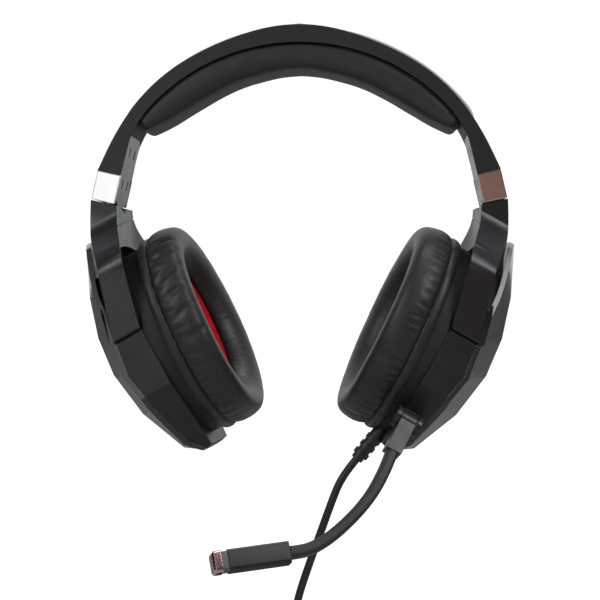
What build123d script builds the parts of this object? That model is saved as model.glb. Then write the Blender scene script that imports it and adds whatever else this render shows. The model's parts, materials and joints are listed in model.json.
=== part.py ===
"""Over-ear gaming headset with a boom microphone.

Millimetres.  +Z is up, +X is the wearer's left, -Y is the way the wearer faces.
The origin is the middle of the underside of the headband pad, where it rests
on the head.  Each side is modelled once on +X and mirrored for -X.
"""
from build123d import *
import math
import os

# ---- headband -------------------------------------------------------------
BAND_DEPTH = 36.0            # front to back
BAND_OUTER = [(0, 21), (30, 15.2), (56.5, 2.4), (76.5, -15.5), (89.2, -35.5), (94.8, -47.3)]
BAND_INNER = [(0, 12.7), (24, 9.7), (49.9, -1.1), (63.3, -10.9), (73.8, -22.1), (80.2, -34), (84.0, -49.9)]
PAD_UNDER = [(0, 0), (17.2, -2.6), (30.7, -6.9), (44, -13.7), (56, -20.9), (64.1, -25.4)]
PAD_END = (72.5, -29.0)
PAD_TOP = (77.0, -24.0)
PAD_DEPTH = 33.0
TOP_PLATE_THICK = 1.4
TOP_PLATE_DEPTH = 26.0
TOP_PLATE_REACH = 82.0       # how far the top plate reaches from the middle
SPRING_DEPTH = 14.0
SPRING_THICK = 1.2
SPRING_REACH = 66.0
SPRING_DROP = 4.5            # how far below the outer face the spring strip lies
CUT_PAST = 3.0               # how far a cutting tool reaches past the surface it opens
LAYER_STEPS = 8              # points that each layer's curve is drawn through, less one

# ---- the adjusting slide in each band end ------------------------------------
MOUTH = (92.25, -61.9)       # middle of the band end's mouth, X and Z
SLIDE_LEAN = 13.0            # degrees from straight down, outward
END_THICK = 11.3
COLLAR_HEIGHT = 13.6
COLLAR_WALL = 1.2
STRIP_DEPTH = 18.0
STRIP_THICK = 1.6
STRIP_SHIFT = -0.8           # the strip lies this far inward of the middle
STRIP_ABOVE = 30.0
STRIP_BELOW = 15.0
STRIP_PLAY = 0.3
SPRING_LEAF_DEPTH = 9.0
SPRING_LEAF_THICK = 0.5
LEAF_POCKET_THICK = 2.0
LEAF_SPAN = (7.0, 25.0)       # the leaf spring's ends, in height above the mouth
LEAF_MIDDLE = 16.0
INNER_COVER_THICK = 2.2
INNER_COVER_DEPTH = 33.0
INNER_COVER_TOP = (79.2, -30.5)
INNER_COVER_TIP = 2.8        # how far the cover's V tip hangs below the mouth
INNER_COVER_V = 5.0
COVER_SLOT = (4.4, 3.0)      # height and width of the four small slots
COVER_SLOT_ROWS = (10.0, 25.5)
COVER_SLOT_COLUMNS = (-7.0, 7.0)
BAND_SCREW_RADIUS = 1.2
BAND_SCREW_HEAD = 2.3
BAND_SCREW_LENGTH = 5.5
BAND_SCREW_DEEP = 1.0
BAND_SCREW_HEAD_THICK = 1.2
BAND_SCREW_PLACES = ((18.0, -12.5), (18.0, 12.5))    # height above the mouth, and Y

# ---- yoke: the arm and its fork ----------------------------------------------
TOE = 3.5                    # degrees that each arm and cup turn towards the face
TOE_CENTRE = 86.0
ARM_GAP = 0.55               # between the mouth and the top of the arm
YOKE_OUTER = [(97.4, -58), (97.3, -79), (92.4, -100.7), (85.6, -128.8), (82.0, -142)]
YOKE_INNER = [(85.3, -58), (84.4, -75), (82.0, -91.1), (73.5, -121.8), (68.0, -141)]
YOKE_BOW = 5.0               # the fork's legs sit this far further in than its arm
YOKE_PLAY = 0.4              # between the arm and the inner cover's tip
ARM_DEPTH = 35.0
LEG_FRONT = 40.0             # outside of the legs from the middle plane
LEG_THICK = 4.5
LEG_END = 8.0                # lowest point of the legs in the cup's frame
FORK_TOP = 49.5              # underside of the fork's bridge in the cup's frame
YOKE_COVER_THICK = 1.8
YOKE_COVER_DEPTH = 31.0
YOKE_COVER_HEIGHTS = (-88.0, -70.0)
LEG_CORNERS = [(23.9, LEG_END), (8.4, LEG_END), (-3.0, 56.0), (11.6, 54.0)]    # u and w

# ---- cup ------------------------------------------------------------------------
CUP_CENTRE = (57.2, -124.7)
CUP_LEAN = 29.5              # degrees, the top leans outward
PIVOT = (12.5, 19.0)         # tilt axis in the cup's frame, u and w
PIN_RADIUS = 2.4
PIN_PLAY = 0.05
PIN_LENGTH = 9.5
PIN_INSET = 1.2              # the pins stop this far inside the legs' outer faces
TILT_IN = -1.0
TILT_OUT = 6.0
POCKET_PLAY = 0.45
PARTING = 8.5                # u of the face between the housing and the baffle
CUP_HALF = 39.0
RIDGE_HALF = 10.0
RIDGE = [(17.3, 58.5), (28.2, 36), (34.2, 17), (36.3, -2), (33, -25), (23.5, -48.5), (15, -54.5)]
EDGE = [(15.8, 48), (19.7, 31), (23.8, 10), (26.5, -8), (23.4, -25), (16.3, -47), (12.5, -53.8)]
HOUSING_TOP = 41.0
HOUSING_HALF_TOP = 20.0
PLATE_TOP_HALF = 17.0
SHOULDER_TOP = 20.0
SHOULDER_BOTTOM = -20.0
BOTTOM_HALF = 22.0
PLATE_THICK = 2.4
PLATE_START = 12.5           # u of the plate's inner edge
INLAY_THICK = 1.0
INLAY_HALF = 8.0
INLAY_HEIGHTS = (-39.0, 31.0)
CUP_WALL = 2.4
CAVITY = (31.0, 41.0)
CAVITY_MIDDLE = -2.5

# ---- baffle, cushion and speaker --------------------------------------------------
NECK = (38.0, 47.0)          # half width and half height of the baffle's oval
NECK_MIDDLE = -1.5
CUSHION_AT = (-11.0, 0.0, -1.5)
CUSHION_TURN = (0.0, -4.5, 4.0)
CUSHION_OUTER = (41.5, 49.5)
CUSHION_HOLE = (23.5, 31.5)
CUSHION_THICK = 11.0
CUSHION_ROUND = 5.0
SKIRT_WALL = 1.6
SKIRT_LENGTH = 10.0
BAFFLE_THICK = 3.0
BAFFLE_POCKET = (31.0, 40.0)
CLOTH_THICK = 0.8
CLOTH_PLAY = 0.2
GRILLE_RADIUS = 22.5
GRILLE_THICK = 1.4
GRILLE_HOLE = 1.3
GRILLE_RINGS = ((0.0, 1), (5.0, 6), (10.0, 12), (15.0, 18))
DRIVER_RADIUS = 25.0
DRIVER_WALL = 2.0
DRIVER_DEPTH = 8.0
DRIVER_BACK = 1.2
DIAPHRAGM_THICK = 0.5
DIAPHRAGM_DOME = 8.0
DIAPHRAGM_GAP = 0.8          # behind the grille
DOME_GAP = 0.3
MAGNET_RADIUS = 13.0
MAGNET_THICK = 4.5
MAGNET_PROUD = 1.5           # how far the magnet stands out behind the frame
CUP_SCREW_RADIUS = 1.3
CUP_SCREW_HEAD = 2.6
CUP_SCREW_HEAD_THICK = 2.0
CUP_SCREW_LENGTH = 24.0
CUP_SCREWS = [(-24, 28), (24, 28), (-24, -30), (24, -30)]

# ---- microphone ------------------------------------------------------------------------
HUB = (11.0, -45.0, -38.0)   # hinge of the boom in the cup's frame
MIC_REST = 25.0              # degrees forward of straight down the cup
HUB_RADIUS = 4.2
HUB_WIDTH = 7.4
CHEEK_WALL = 2.2
CHEEK_PLAY = 0.3
MIC_PIN_RADIUS = 1.5
MIC_BASE = 12.0              # the mount reaches this far back, to the cup's slanted face
BLOCK_DEPTH = 8.6
BLOCK_DROP = 17.0             # from the hinge down to the start of the boom
BLOCK_TOP = 1.5              # the block starts this far below the hinge
BOOM_SECTION = (8.0, 4.6)
BOOM_PATH = [(0, -17), (0.9, -36), (-3.2, -57), (-12.9, -75.5), (-20.0, -81.0)]
BOOM_BEND = 30.0
MIC_SECTION = (9.6, 8.6)
MIC_LENGTH = 27.0
MIC_WALL = 1.3
MIC_RING = 3.0
MIC_CAP = 4.0
MIC_FLOOR = 6.0              # solid plastic at the boom's end of the case
BOOM_CORNER = 1.4
CASE_CORNER = 1.6
CAP_CHAMFER = 0.9
CAPSULE_RADIUS = 3.0
CAPSULE_THICK = 2.7

# ---- cable --------------------------------------------------------------------------------
CABLE = 3.8
RELIEF_START = (41.4, -5.0, -167.4)
RELIEF_END = (27.2, -5.0, -184.2)
RELIEF_RADII = (3.7, 2.9)
RELIEF_RIBS = 3
RELIEF_RIB = (1.0, 2.6)      # how far a rib stands out, and its length
ROUTE = [RELIEF_END, (20.3, -5.0, -192.4), (15.6, -5.8, -204), (11.3, -6.0, -216), (6.6, -5.6, -229),
         (2.4, -5.0, -241), (-1.2, -4.6, -252.5), (-2.6, -4.3, -264), (3.3, -4.0, -275.5)]
COIL_CENTRE = (-11.5, -4.0, -292.0)
COIL_LAYERS = (4, 4)         # turns side by side across the coil and through it
COIL_MEAN = 20.5
TIE_WIDTH = 9.0
TIE_WALL = 1.0
TIE_ANGLE = 118.0
TAIL_LENGTH = 14.0
PLUG_RADII = (2.7, 4.2)
PLUG_LENGTHS = (11.0, 15.0)
JACK_RADIUS = 1.75
JACK_LENGTH = 14.0
JACK_TIP = 3.2
JACK_POINT = 0.7             # radius of the jack's rounded point
COIL_CORNER = 1.5
TAIL_DROP = 8.0              # the tail leaves the coil this far below its middle
BOOT_STEP = 0.8              # the boot's wide end is this much narrower than the grip

os.makedirs("parts", exist_ok=True)


# ---- frames and small helpers ----------------------------------------------------------------
def unit(angle):
    """The direction at this many degrees from straight down, leaning outward, in X and Z."""
    turn = math.radians(angle)
    return math.sin(turn), -math.cos(turn)


def side_plane(y):
    """A drawing plane for X and Z outlines at this Y; it faces the wearer's front."""
    return Plane(origin=(0, y, 0), x_dir=(1, 0, 0), z_dir=(0, -1, 0))


def cup_plane(u):
    """A drawing plane for v and w outlines across a cup at this u; it faces outward."""
    return Plane(origin=(u, 0, 0), x_dir=(0, 1, 0), z_dir=(1, 0, 0))


def prism(face, depth):
    """A face drawn in X and Z, made this deep about the middle plane."""
    return extrude(side_plane(depth / 2) * face, depth)


def polygon(points):
    return make_face(Polyline(*points, close=True))


def oval(half_v, half_w):
    return Ellipse(half_v, half_w)


def bar(size, at=(0, 0, 0)):
    return Pos(*at) * Box(*size)


def write(name, shape):
    """Each node is written as a compound of its solids, or as the one solid it is."""
    solids = shape.solids()
    if not solids:
        raise ValueError(name + " has no solid")
    export_step(solids[0] if len(solids) == 1 else Compound(children=solids), "parts/" + name + ".step")


TOE_TURN = Pos(TOE_CENTRE, 0, 0) * Rot(0, 0, TOE) * Pos(-TOE_CENTRE, 0, 0)
CUP_SIDE = Pos(CUP_CENTRE[0], 0, CUP_CENTRE[1]) * Rot(0, CUP_LEAN, 0)
CUP = TOE_TURN * CUP_SIDE
CUSHION = Pos(*CUSHION_AT) * Rot(*CUSHION_TURN)
SLIDE = Pos(MOUTH[0], 0, MOUTH[1]) * Rot(0, -SLIDE_LEAN, 0)


def both_sides(name, shape):
    """Write the wearer's left as modelled and the right as its mirror image."""
    write("left_" + name, shape)
    write("right_" + name, mirror(shape, about=Plane.YZ))


# ---- headband -------------------------------------------------------------------------------------
def half_curve(points):
    """A smooth curve down the +X half of the band, level where it starts in the middle."""
    last = (points[-1][0] - points[-2][0], points[-1][1] - points[-2][1])
    return Spline(*points, tangents=[(1, 0), last])


def between(first, second):
    """The face between two curves, closed by a straight line at each end."""
    return make_face(first + second + Line(first @ 0, second @ 0) + Line(first @ 1, second @ 1))


def both_halves(solid):
    return solid + mirror(solid, about=Plane.YZ)


def band_half():
    return prism(between(half_curve(BAND_OUTER), half_curve(BAND_INNER)), BAND_DEPTH)


def band_layer(top, bottom, reach, depth):
    """The part of the band between two depths below its outer face, out to a reach each side."""
    outer = half_curve(BAND_OUTER)
    lines = []
    for gap in (top, bottom):
        places = [k / LAYER_STEPS for k in range(LAYER_STEPS + 1)]
        lines.append(half_curve([tuple(outer @ t + (outer % t).rotate(Axis.Z, -90) * gap)[:2] for t in places]))
    return both_halves(prism(between(*lines), depth) & bar((2 * reach, depth, 200)))


def end_tongue():
    """The band end's core inside the collar, down to the mouth."""
    thick = END_THICK - COLLAR_WALL - INNER_COVER_THICK
    middle = (INNER_COVER_THICK - COLLAR_WALL) / 2
    height = COLLAR_HEIGHT + 2
    return SLIDE * bar((thick, BAND_DEPTH - 2 * COLLAR_WALL, height), (middle, 0, height / 2))


def strip(play=0.0, above=STRIP_ABOVE, below=STRIP_BELOW):
    """The slider strip, or the slot for it with some play."""
    size = (STRIP_THICK + 2 * play, STRIP_DEPTH + 2 * play, above + below)
    return SLIDE * bar(size, (STRIP_SHIFT, 0, (above - below) / 2))


def leaf_pocket():
    size = (LEAF_POCKET_THICK, SPRING_LEAF_DEPTH + 1, LEAF_SPAN[1] - LEAF_SPAN[0] + 2)
    return SLIDE * bar(size, (STRIP_SHIFT + STRIP_THICK / 2 + STRIP_PLAY + LEAF_POCKET_THICK / 2, 0, LEAF_MIDDLE))


def detent_spring():
    """A leaf spring bowed towards the strip; its ends bear on the pocket's outer wall."""
    near = STRIP_SHIFT + STRIP_THICK / 2 + STRIP_PLAY
    far = near + LEAF_POCKET_THICK
    low, high = LEAF_SPAN
    bow = ThreePointArc((far, low), (near + SPRING_LEAF_THICK + 0.1, LEAF_MIDDLE), (far, high))
    face = make_face(bow + Line((far, low), (far, high)))
    inner = Pos(SPRING_LEAF_THICK, 0, 0) * face
    return SLIDE * (prism(face, SPRING_LEAF_DEPTH) - prism(inner, SPRING_LEAF_DEPTH + 1))


def inner_cover_face(beyond=0.0):
    """The cover's outline; beyond makes it a cutting tool that reaches past the inner side."""
    down = unit(SLIDE_LEAN)
    across = (-down[1], down[0])
    mouth = (MOUTH[0] - across[0] * END_THICK / 2, MOUTH[1] - across[1] * END_THICK / 2)
    tip = (mouth[0] + down[0] * INNER_COVER_TIP, mouth[1] + down[1] * INNER_COVER_TIP)
    line = [INNER_COVER_TOP, BAND_INNER[-1], mouth, tip]
    back = [(x + INNER_COVER_THICK * across[0], z + INNER_COVER_THICK * across[1]) for x, z in line]
    front = [(x - beyond * across[0], z - beyond * across[1]) for x, z in line]
    return polygon(front + back[::-1])


def inner_cover():
    body = prism(inner_cover_face(), INNER_COVER_DEPTH)
    half = INNER_COVER_DEPTH / 2 + 1
    rise = INNER_COVER_V * half / (INNER_COVER_DEPTH / 2)
    low = -INNER_COVER_TIP
    corner = polygon([(0, low), (half, low + rise), (half, low - 3), (0, low - 3)])
    for turned in (1, -1):
        body -= SLIDE * extrude(cup_plane(-15) * (corner if turned > 0 else mirror(corner, about=Plane.YZ)), 20)
    for row in COVER_SLOT_ROWS:
        for column in COVER_SLOT_COLUMNS:
            body -= SLIDE * bar((16, COVER_SLOT[1], COVER_SLOT[0]), (-END_THICK / 2 - 2, column, row))
    return body


def band_screws():
    """Two countersunk screws hold each inner cover to the band."""
    group = []
    for row, y in BAND_SCREW_PLACES:
        shank = Cylinder(BAND_SCREW_RADIUS, BAND_SCREW_LENGTH, align=(Align.CENTER, Align.CENTER, Align.MIN))
        head = Cone(BAND_SCREW_HEAD, BAND_SCREW_RADIUS, BAND_SCREW_HEAD_THICK, align=(Align.CENTER, Align.CENTER, Align.MIN))
        group.append(SLIDE * Pos(BAND_SCREW_DEEP - END_THICK / 2, y, row) * Rot(0, 90, 0) * (shank + head))
    return group


def headband():
    shell = both_halves(band_half() + end_tongue())
    plate = band_layer(0, TOP_PLATE_THICK, TOP_PLATE_REACH, TOP_PLATE_DEPTH)
    spring = band_layer(SPRING_DROP, SPRING_DROP + SPRING_THICK, SPRING_REACH, SPRING_DEPTH)
    shell = shell - band_layer(-CUT_PAST, TOP_PLATE_THICK, TOP_PLATE_REACH, TOP_PLATE_DEPTH) - spring
    cover = inner_cover()
    screws = band_screws()
    cuts = [strip(STRIP_PLAY, STRIP_ABOVE + 1, 1), leaf_pocket(), prism(inner_cover_face(CUT_PAST), INNER_COVER_DEPTH)]
    for cut in cuts + screws:
        shell = shell - cut - mirror(cut, about=Plane.YZ)
    for screw in screws:
        cover -= screw
    write("headband_shell", shell)
    write("headband_top_plate", plate)
    write("headband_spring_strip", spring)
    both_sides("inner_cover", cover)
    both_sides("detent_spring", detent_spring())
    write("headband_screws", Compound(children=screws + [mirror(s, about=Plane.YZ) for s in screws]))


def headband_pad():
    """A crescent under the band, blunt at both ends."""
    band = half_curve(BAND_INNER)
    under = half_curve(PAD_UNDER)
    blunt = Spline(under @ 1, PAD_END, PAD_TOP, tangents=[under % 1, (0.3, 1)])
    lid = Polyline(PAD_TOP, (PAD_TOP[0], 40), (0, 40), (0, 0))
    face = make_face(Curve() + under.edges() + blunt.edges() + lid.edges())
    ground = Polyline(band @ 1, (150, -49.9), (150, 60), (0, 60), band @ 0)
    return both_halves(prism(face, PAD_DEPTH) - prism(make_face(Curve() + band.edges() + ground.edges()), 60))


def chrome_collar():
    """A U-shaped sleeve round the front, outside and back of the band end."""
    outer = bar((END_THICK, BAND_DEPTH, COLLAR_HEIGHT), (0, 0, COLLAR_HEIGHT / 2))
    inner = bar((END_THICK, BAND_DEPTH - 2 * COLLAR_WALL, COLLAR_HEIGHT), (-COLLAR_WALL, 0, COLLAR_HEIGHT / 2))
    return SLIDE * (outer - inner) - prism(inner_cover_face(), INNER_COVER_DEPTH) - band_half()


# ---- yoke ------------------------------------------------------------------------------------------------
def yoke_section(shift, y):
    outer = Spline(*[(x - shift, z) for x, z in YOKE_OUTER])
    inner = Spline(*[(x - shift, z) for x, z in YOKE_INNER])
    face = make_face(outer + inner + Line(outer @ 0, inner @ 0) + Line(outer @ 1, inner @ 1))
    return side_plane(y) * face


def yoke_slab():
    """The curved slab that the whole yoke is cut from, bowed inward at the front and back."""
    places = [(-LEG_FRONT - 1, YOKE_BOW), (-ARM_DEPTH / 2, 0), (ARM_DEPTH / 2, 0), (LEG_FRONT + 1, YOKE_BOW)]
    return loft([yoke_section(shift, y) for y, shift in places], ruled=True)


def fork_outline():
    """Arm, bridge and two legs, seen from the side of the head, in the cup's v and w."""
    arm = ARM_DEPTH / 2
    inside = LEG_FRONT - LEG_THICK
    outer = [(arm, 90), (arm, 66), (arm + 2, 58), (LEG_FRONT - 4, 46), (LEG_FRONT, 38), (LEG_FRONT, LEG_END)]
    right = outer + [(inside, LEG_END), (inside, 34), (inside - 8, FORK_TOP - 4), (18, FORK_TOP)]
    return polygon(right + [(-v, w) for v, w in reversed(right)])


def yoke():
    """The yoke and the plate that covers its inner side, before the toe turn."""
    body = yoke_slab() & (CUP_SIDE * extrude(cup_plane(-60) * fork_outline(), 140))
    body -= SLIDE * bar((60, 120, 60), (0, 0, 30 - ARM_GAP))
    body -= SLIDE * bar((20, 120, 20), (-END_THICK / 2 + INNER_COVER_THICK + YOKE_PLAY - 10, 0, 5 - INNER_COVER_TIP))
    skin = yoke_slab() - Pos(YOKE_COVER_THICK, 0, 0) * yoke_slab()
    low, high = YOKE_COVER_HEIGHTS
    patch = polygon([(60, low), (60, high), (110, high), (110, low)])
    cover = skin & prism(patch, YOKE_COVER_DEPTH)
    cover = cover & body
    return body - cover, cover


def pins(reach, radius):
    """Round stubs on the tilt axis, one in front and one behind, in the cup's frame."""
    group = []
    for side in (-1, 1):
        middle = side * (LEG_FRONT - PIN_INSET - reach / 2)
        group.append(Pos(PIVOT[0], middle, PIVOT[1]) * Rot(90, 0, 0) * Cylinder(radius, reach))
    return group


def build_yokes():
    body, cover = yoke()
    stubs = [CUP_SIDE * pin for pin in pins(PIN_LENGTH, PIN_RADIUS)]
    for stub in stubs:
        body -= stub
    body = TOE_TURN * body
    body -= strip()
    both_sides("yoke", body)
    both_sides("yoke_inner_cover", TOE_TURN * cover - strip())
    both_sides("slider_strip", strip())
    both_sides("pivot_pins", Compound(children=[TOE_TURN * stub for stub in stubs]))


# ---- cup ---------------------------------------------------------------------------------------------------
def cup_section(points, v):
    face = polygon([(PARTING, points[0][1])] + points + [(PARTING, points[-1][1] + 1.5)])
    return side_plane(v) * face


def cup_outline(top, half_top, shoulder):
    side = [(half_top, top), (CUP_HALF, shoulder), (CUP_HALF, SHOULDER_BOTTOM), (BOTTOM_HALF, RIDGE[-1][1] - 0.5)]
    return polygon(side + [(-v, w) for v, w in reversed(side)])


def cup_form():
    """The faceted outside of the cup: a flat ridge down its middle, falling away to both edges."""
    places = [(-CUP_HALF, EDGE), (-RIDGE_HALF, RIDGE), (RIDGE_HALF, RIDGE), (CUP_HALF, EDGE)]
    return loft([cup_section(points, v) for v, points in places], ruled=True)


def turned_leg(angle):
    """The leg's four corners in u and w, turned about the tilt axis."""
    turn = math.radians(angle)
    moved = []
    for u, w in LEG_CORNERS:
        du, dw = u - PIVOT[0], w - PIVOT[1]
        moved.append((PIVOT[0] + du * math.cos(turn) - dw * math.sin(turn),
                      PIVOT[1] + du * math.sin(turn) + dw * math.cos(turn)))
    return moved


def leg_pockets():
    """Room for the legs in the cup's front and back over the whole tilt."""
    swept = turned_leg(TILT_IN) + turned_leg(0) + turned_leg(TILT_OUT)
    face = offset(polygon(hull_of(swept)), POCKET_PLAY, kind=Kind.INTERSECTION)
    depth = LEG_THICK + 2 * POCKET_PLAY + 2
    return [extrude(side_plane(side * (LEG_FRONT - LEG_THICK - POCKET_PLAY + (0 if side < 0 else depth))) * face, depth)
            for side in (-1, 1)]


def hull_of(points):
    """The convex outline round a set of points, anticlockwise."""
    points = sorted(set(points))

    def chain(ordered):
        out = []
        for p in ordered:
            while len(out) > 1 and ((out[-1][0] - out[-2][0]) * (p[1] - out[-2][1])
                                    - (out[-1][1] - out[-2][1]) * (p[0] - out[-2][0])) <= 0:
                out.pop()
            out.append(p)
        return out
    lower, upper = chain(points), chain(points[::-1])
    return lower[:-1] + upper[:-1]


def cup_screws():
    group = []
    for v, w in CUP_SCREWS:
        axis = CUSHION * Pos(0, v, w) * Rot(0, 90, 0)
        head = Cylinder(CUP_SCREW_HEAD, CUP_SCREW_HEAD_THICK, align=(Align.CENTER, Align.CENTER, Align.MIN))
        shank = Cylinder(CUP_SCREW_RADIUS, CUP_SCREW_LENGTH, align=(Align.CENTER, Align.CENTER, Align.MIN))
        group.append(axis * (head + shank))
    return group


def disc(radius, start, thick):
    """A disc about the cushion's axis, from this depth outward."""
    return CUSHION * extrude(cup_plane(start) * Circle(radius), thick)


def oval_slab(half, start, thick):
    return CUSHION * extrude(cup_plane(start) * oval(*half), thick)


def cushion():
    pillow = extrude(cup_plane(-CUSHION_THICK) * oval(*CUSHION_OUTER), CUSHION_THICK)
    pillow -= extrude(cup_plane(-CUSHION_THICK - 1) * oval(*CUSHION_HOLE), CUSHION_THICK + 2)
    front = pillow.edges().group_by(Axis.X)[0]
    pillow = fillet(front, CUSHION_ROUND)
    skirt = extrude(cup_plane(-30) * (Pos(0, NECK_MIDDLE) * oval(NECK[0] + SKIRT_WALL, NECK[1] + SKIRT_WALL)), 60)
    skirt -= extrude(cup_plane(-31) * (Pos(0, NECK_MIDDLE) * oval(*NECK)), 62)
    skirt = skirt & (CUSHION * bar((SKIRT_LENGTH, 200, 200), (SKIRT_LENGTH / 2, 0, 0)))
    return CUSHION * pillow + skirt


def relief_axis():
    start, end = Vector(*RELIEF_START), Vector(*RELIEF_END)
    return start, end, (end - start).normalized()


def strain_relief():
    start, end, along = relief_axis()
    frame = Plane(origin=start, z_dir=along)
    length = (end - start).length
    body = Cone(RELIEF_RADII[0], RELIEF_RADII[1], length, align=(Align.CENTER, Align.CENTER, Align.MIN))
    for k in range(RELIEF_RIBS):
        at = length - (k + 0.6) * 1.7 * RELIEF_RIB[1] - 1
        radius = RELIEF_RADII[1] + RELIEF_RIB[0]
        body += Pos(0, 0, at) * Cylinder(radius, RELIEF_RIB[1])
    return frame * body


def build_cups():
    form = cup_form()
    inner_form = Pos(-PLATE_THICK, 0, 0) * form
    plate_outline = extrude(cup_plane(-40) * cup_outline(RIDGE[0][1], PLATE_TOP_HALF, SHOULDER_TOP), 100)
    body_outline = extrude(cup_plane(-40) * cup_outline(HOUSING_TOP, HOUSING_HALF_TOP, SHOULDER_TOP), 100)
    pockets = leg_pockets()
    holes = pins(PIN_LENGTH + PIN_PLAY, PIN_RADIUS + PIN_PLAY)
    screws = cup_screws()

    plate = (form - inner_form) & plate_outline & bar((60, 200, 200), (PLATE_START + 30, 0, 0))
    housing = (inner_form & body_outline) & bar((60, 200, 200), (PARTING + 30, 0, 0))
    cavity = extrude(cup_plane(PARTING - 1) * (Pos(0, CAVITY_MIDDLE) * oval(*CAVITY)), 60)
    housing -= cavity & (Pos(-PLATE_THICK - CUP_WALL, 0, 0) * form)
    for hole in holes:
        housing -= hole
    low, high = INLAY_HEIGHTS
    inlay_room = bar((60, 2 * INLAY_HALF, high - low), (30, 0, (low + high) / 2))
    inlay = (form - Pos(-INLAY_THICK, 0, 0) * form) & inlay_room
    plate -= inlay

    baffle = extrude(cup_plane(-40) * (Pos(0, NECK_MIDDLE) * oval(*NECK)), 40 + PARTING)
    baffle = baffle & (CUSHION * bar((80, 200, 200), (40, 0, 0)))
    baffle -= CUSHION * extrude(cup_plane(BAFFLE_THICK) * oval(*BAFFLE_POCKET), 60)
    for pocket in pockets:
        plate -= pocket
        housing -= pocket
        baffle -= pocket
    baffle -= disc(DRIVER_RADIUS, GRILLE_THICK, 20)
    baffle -= disc(GRILLE_RADIUS, -1, 10)
    for screw in screws:
        baffle -= screw
        housing -= screw

    grille = disc(GRILLE_RADIUS, 0, GRILLE_THICK)
    for ring, count in GRILLE_RINGS:
        for k in range(count):
            turn = 2 * math.pi * k / count
            at = (ring * math.cos(turn), ring * math.sin(turn))
            grille -= CUSHION * extrude(cup_plane(-1) * Pos(*at) * Circle(GRILLE_HOLE), 10)

    frame = disc(DRIVER_RADIUS, GRILLE_THICK, DRIVER_DEPTH)
    frame -= disc(DRIVER_RADIUS - DRIVER_WALL, GRILLE_THICK - 1, DRIVER_DEPTH + 1 - DRIVER_BACK)
    frame -= disc(MAGNET_RADIUS, GRILLE_THICK, DRIVER_DEPTH + 1)
    magnet = disc(MAGNET_RADIUS, GRILLE_THICK + DRIVER_DEPTH - MAGNET_THICK + MAGNET_PROUD, MAGNET_THICK)
    diaphragm = disc(DRIVER_RADIUS - DRIVER_WALL, GRILLE_THICK + DIAPHRAGM_GAP, DIAPHRAGM_THICK)
    diaphragm += disc(DIAPHRAGM_DOME, GRILLE_THICK + DOME_GAP, DIAPHRAGM_THICK)
    cloth = oval_slab((CUSHION_HOLE[0] - CLOTH_PLAY, CUSHION_HOLE[1] - CLOTH_PLAY), -CLOTH_THICK, CLOTH_THICK)

    relief = strain_relief()
    nodes = {"cup_housing": housing, "outer_plate": plate, "plate_inlay": inlay, "baffle": baffle,
             "driver_grille": grille, "driver_frame": frame, "driver_magnet": magnet,
             "driver_diaphragm": diaphragm, "cloth": cloth, "cushion": cushion(),
             "cup_screws": Compound(children=screws)}
    for name, shape in nodes.items():
        placed = CUP * shape
        write("right_" + name, mirror(placed, about=Plane.YZ))
        if name in ("baffle", "cup_housing"):
            placed = placed - relief
        write("left_" + name, placed)
    write("strain_relief", relief)


# ---- microphone -----------------------------------------------------------------------------------------------
MIC = CUP * Pos(*HUB) * Rot(-MIC_REST, 0, 0)


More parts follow.
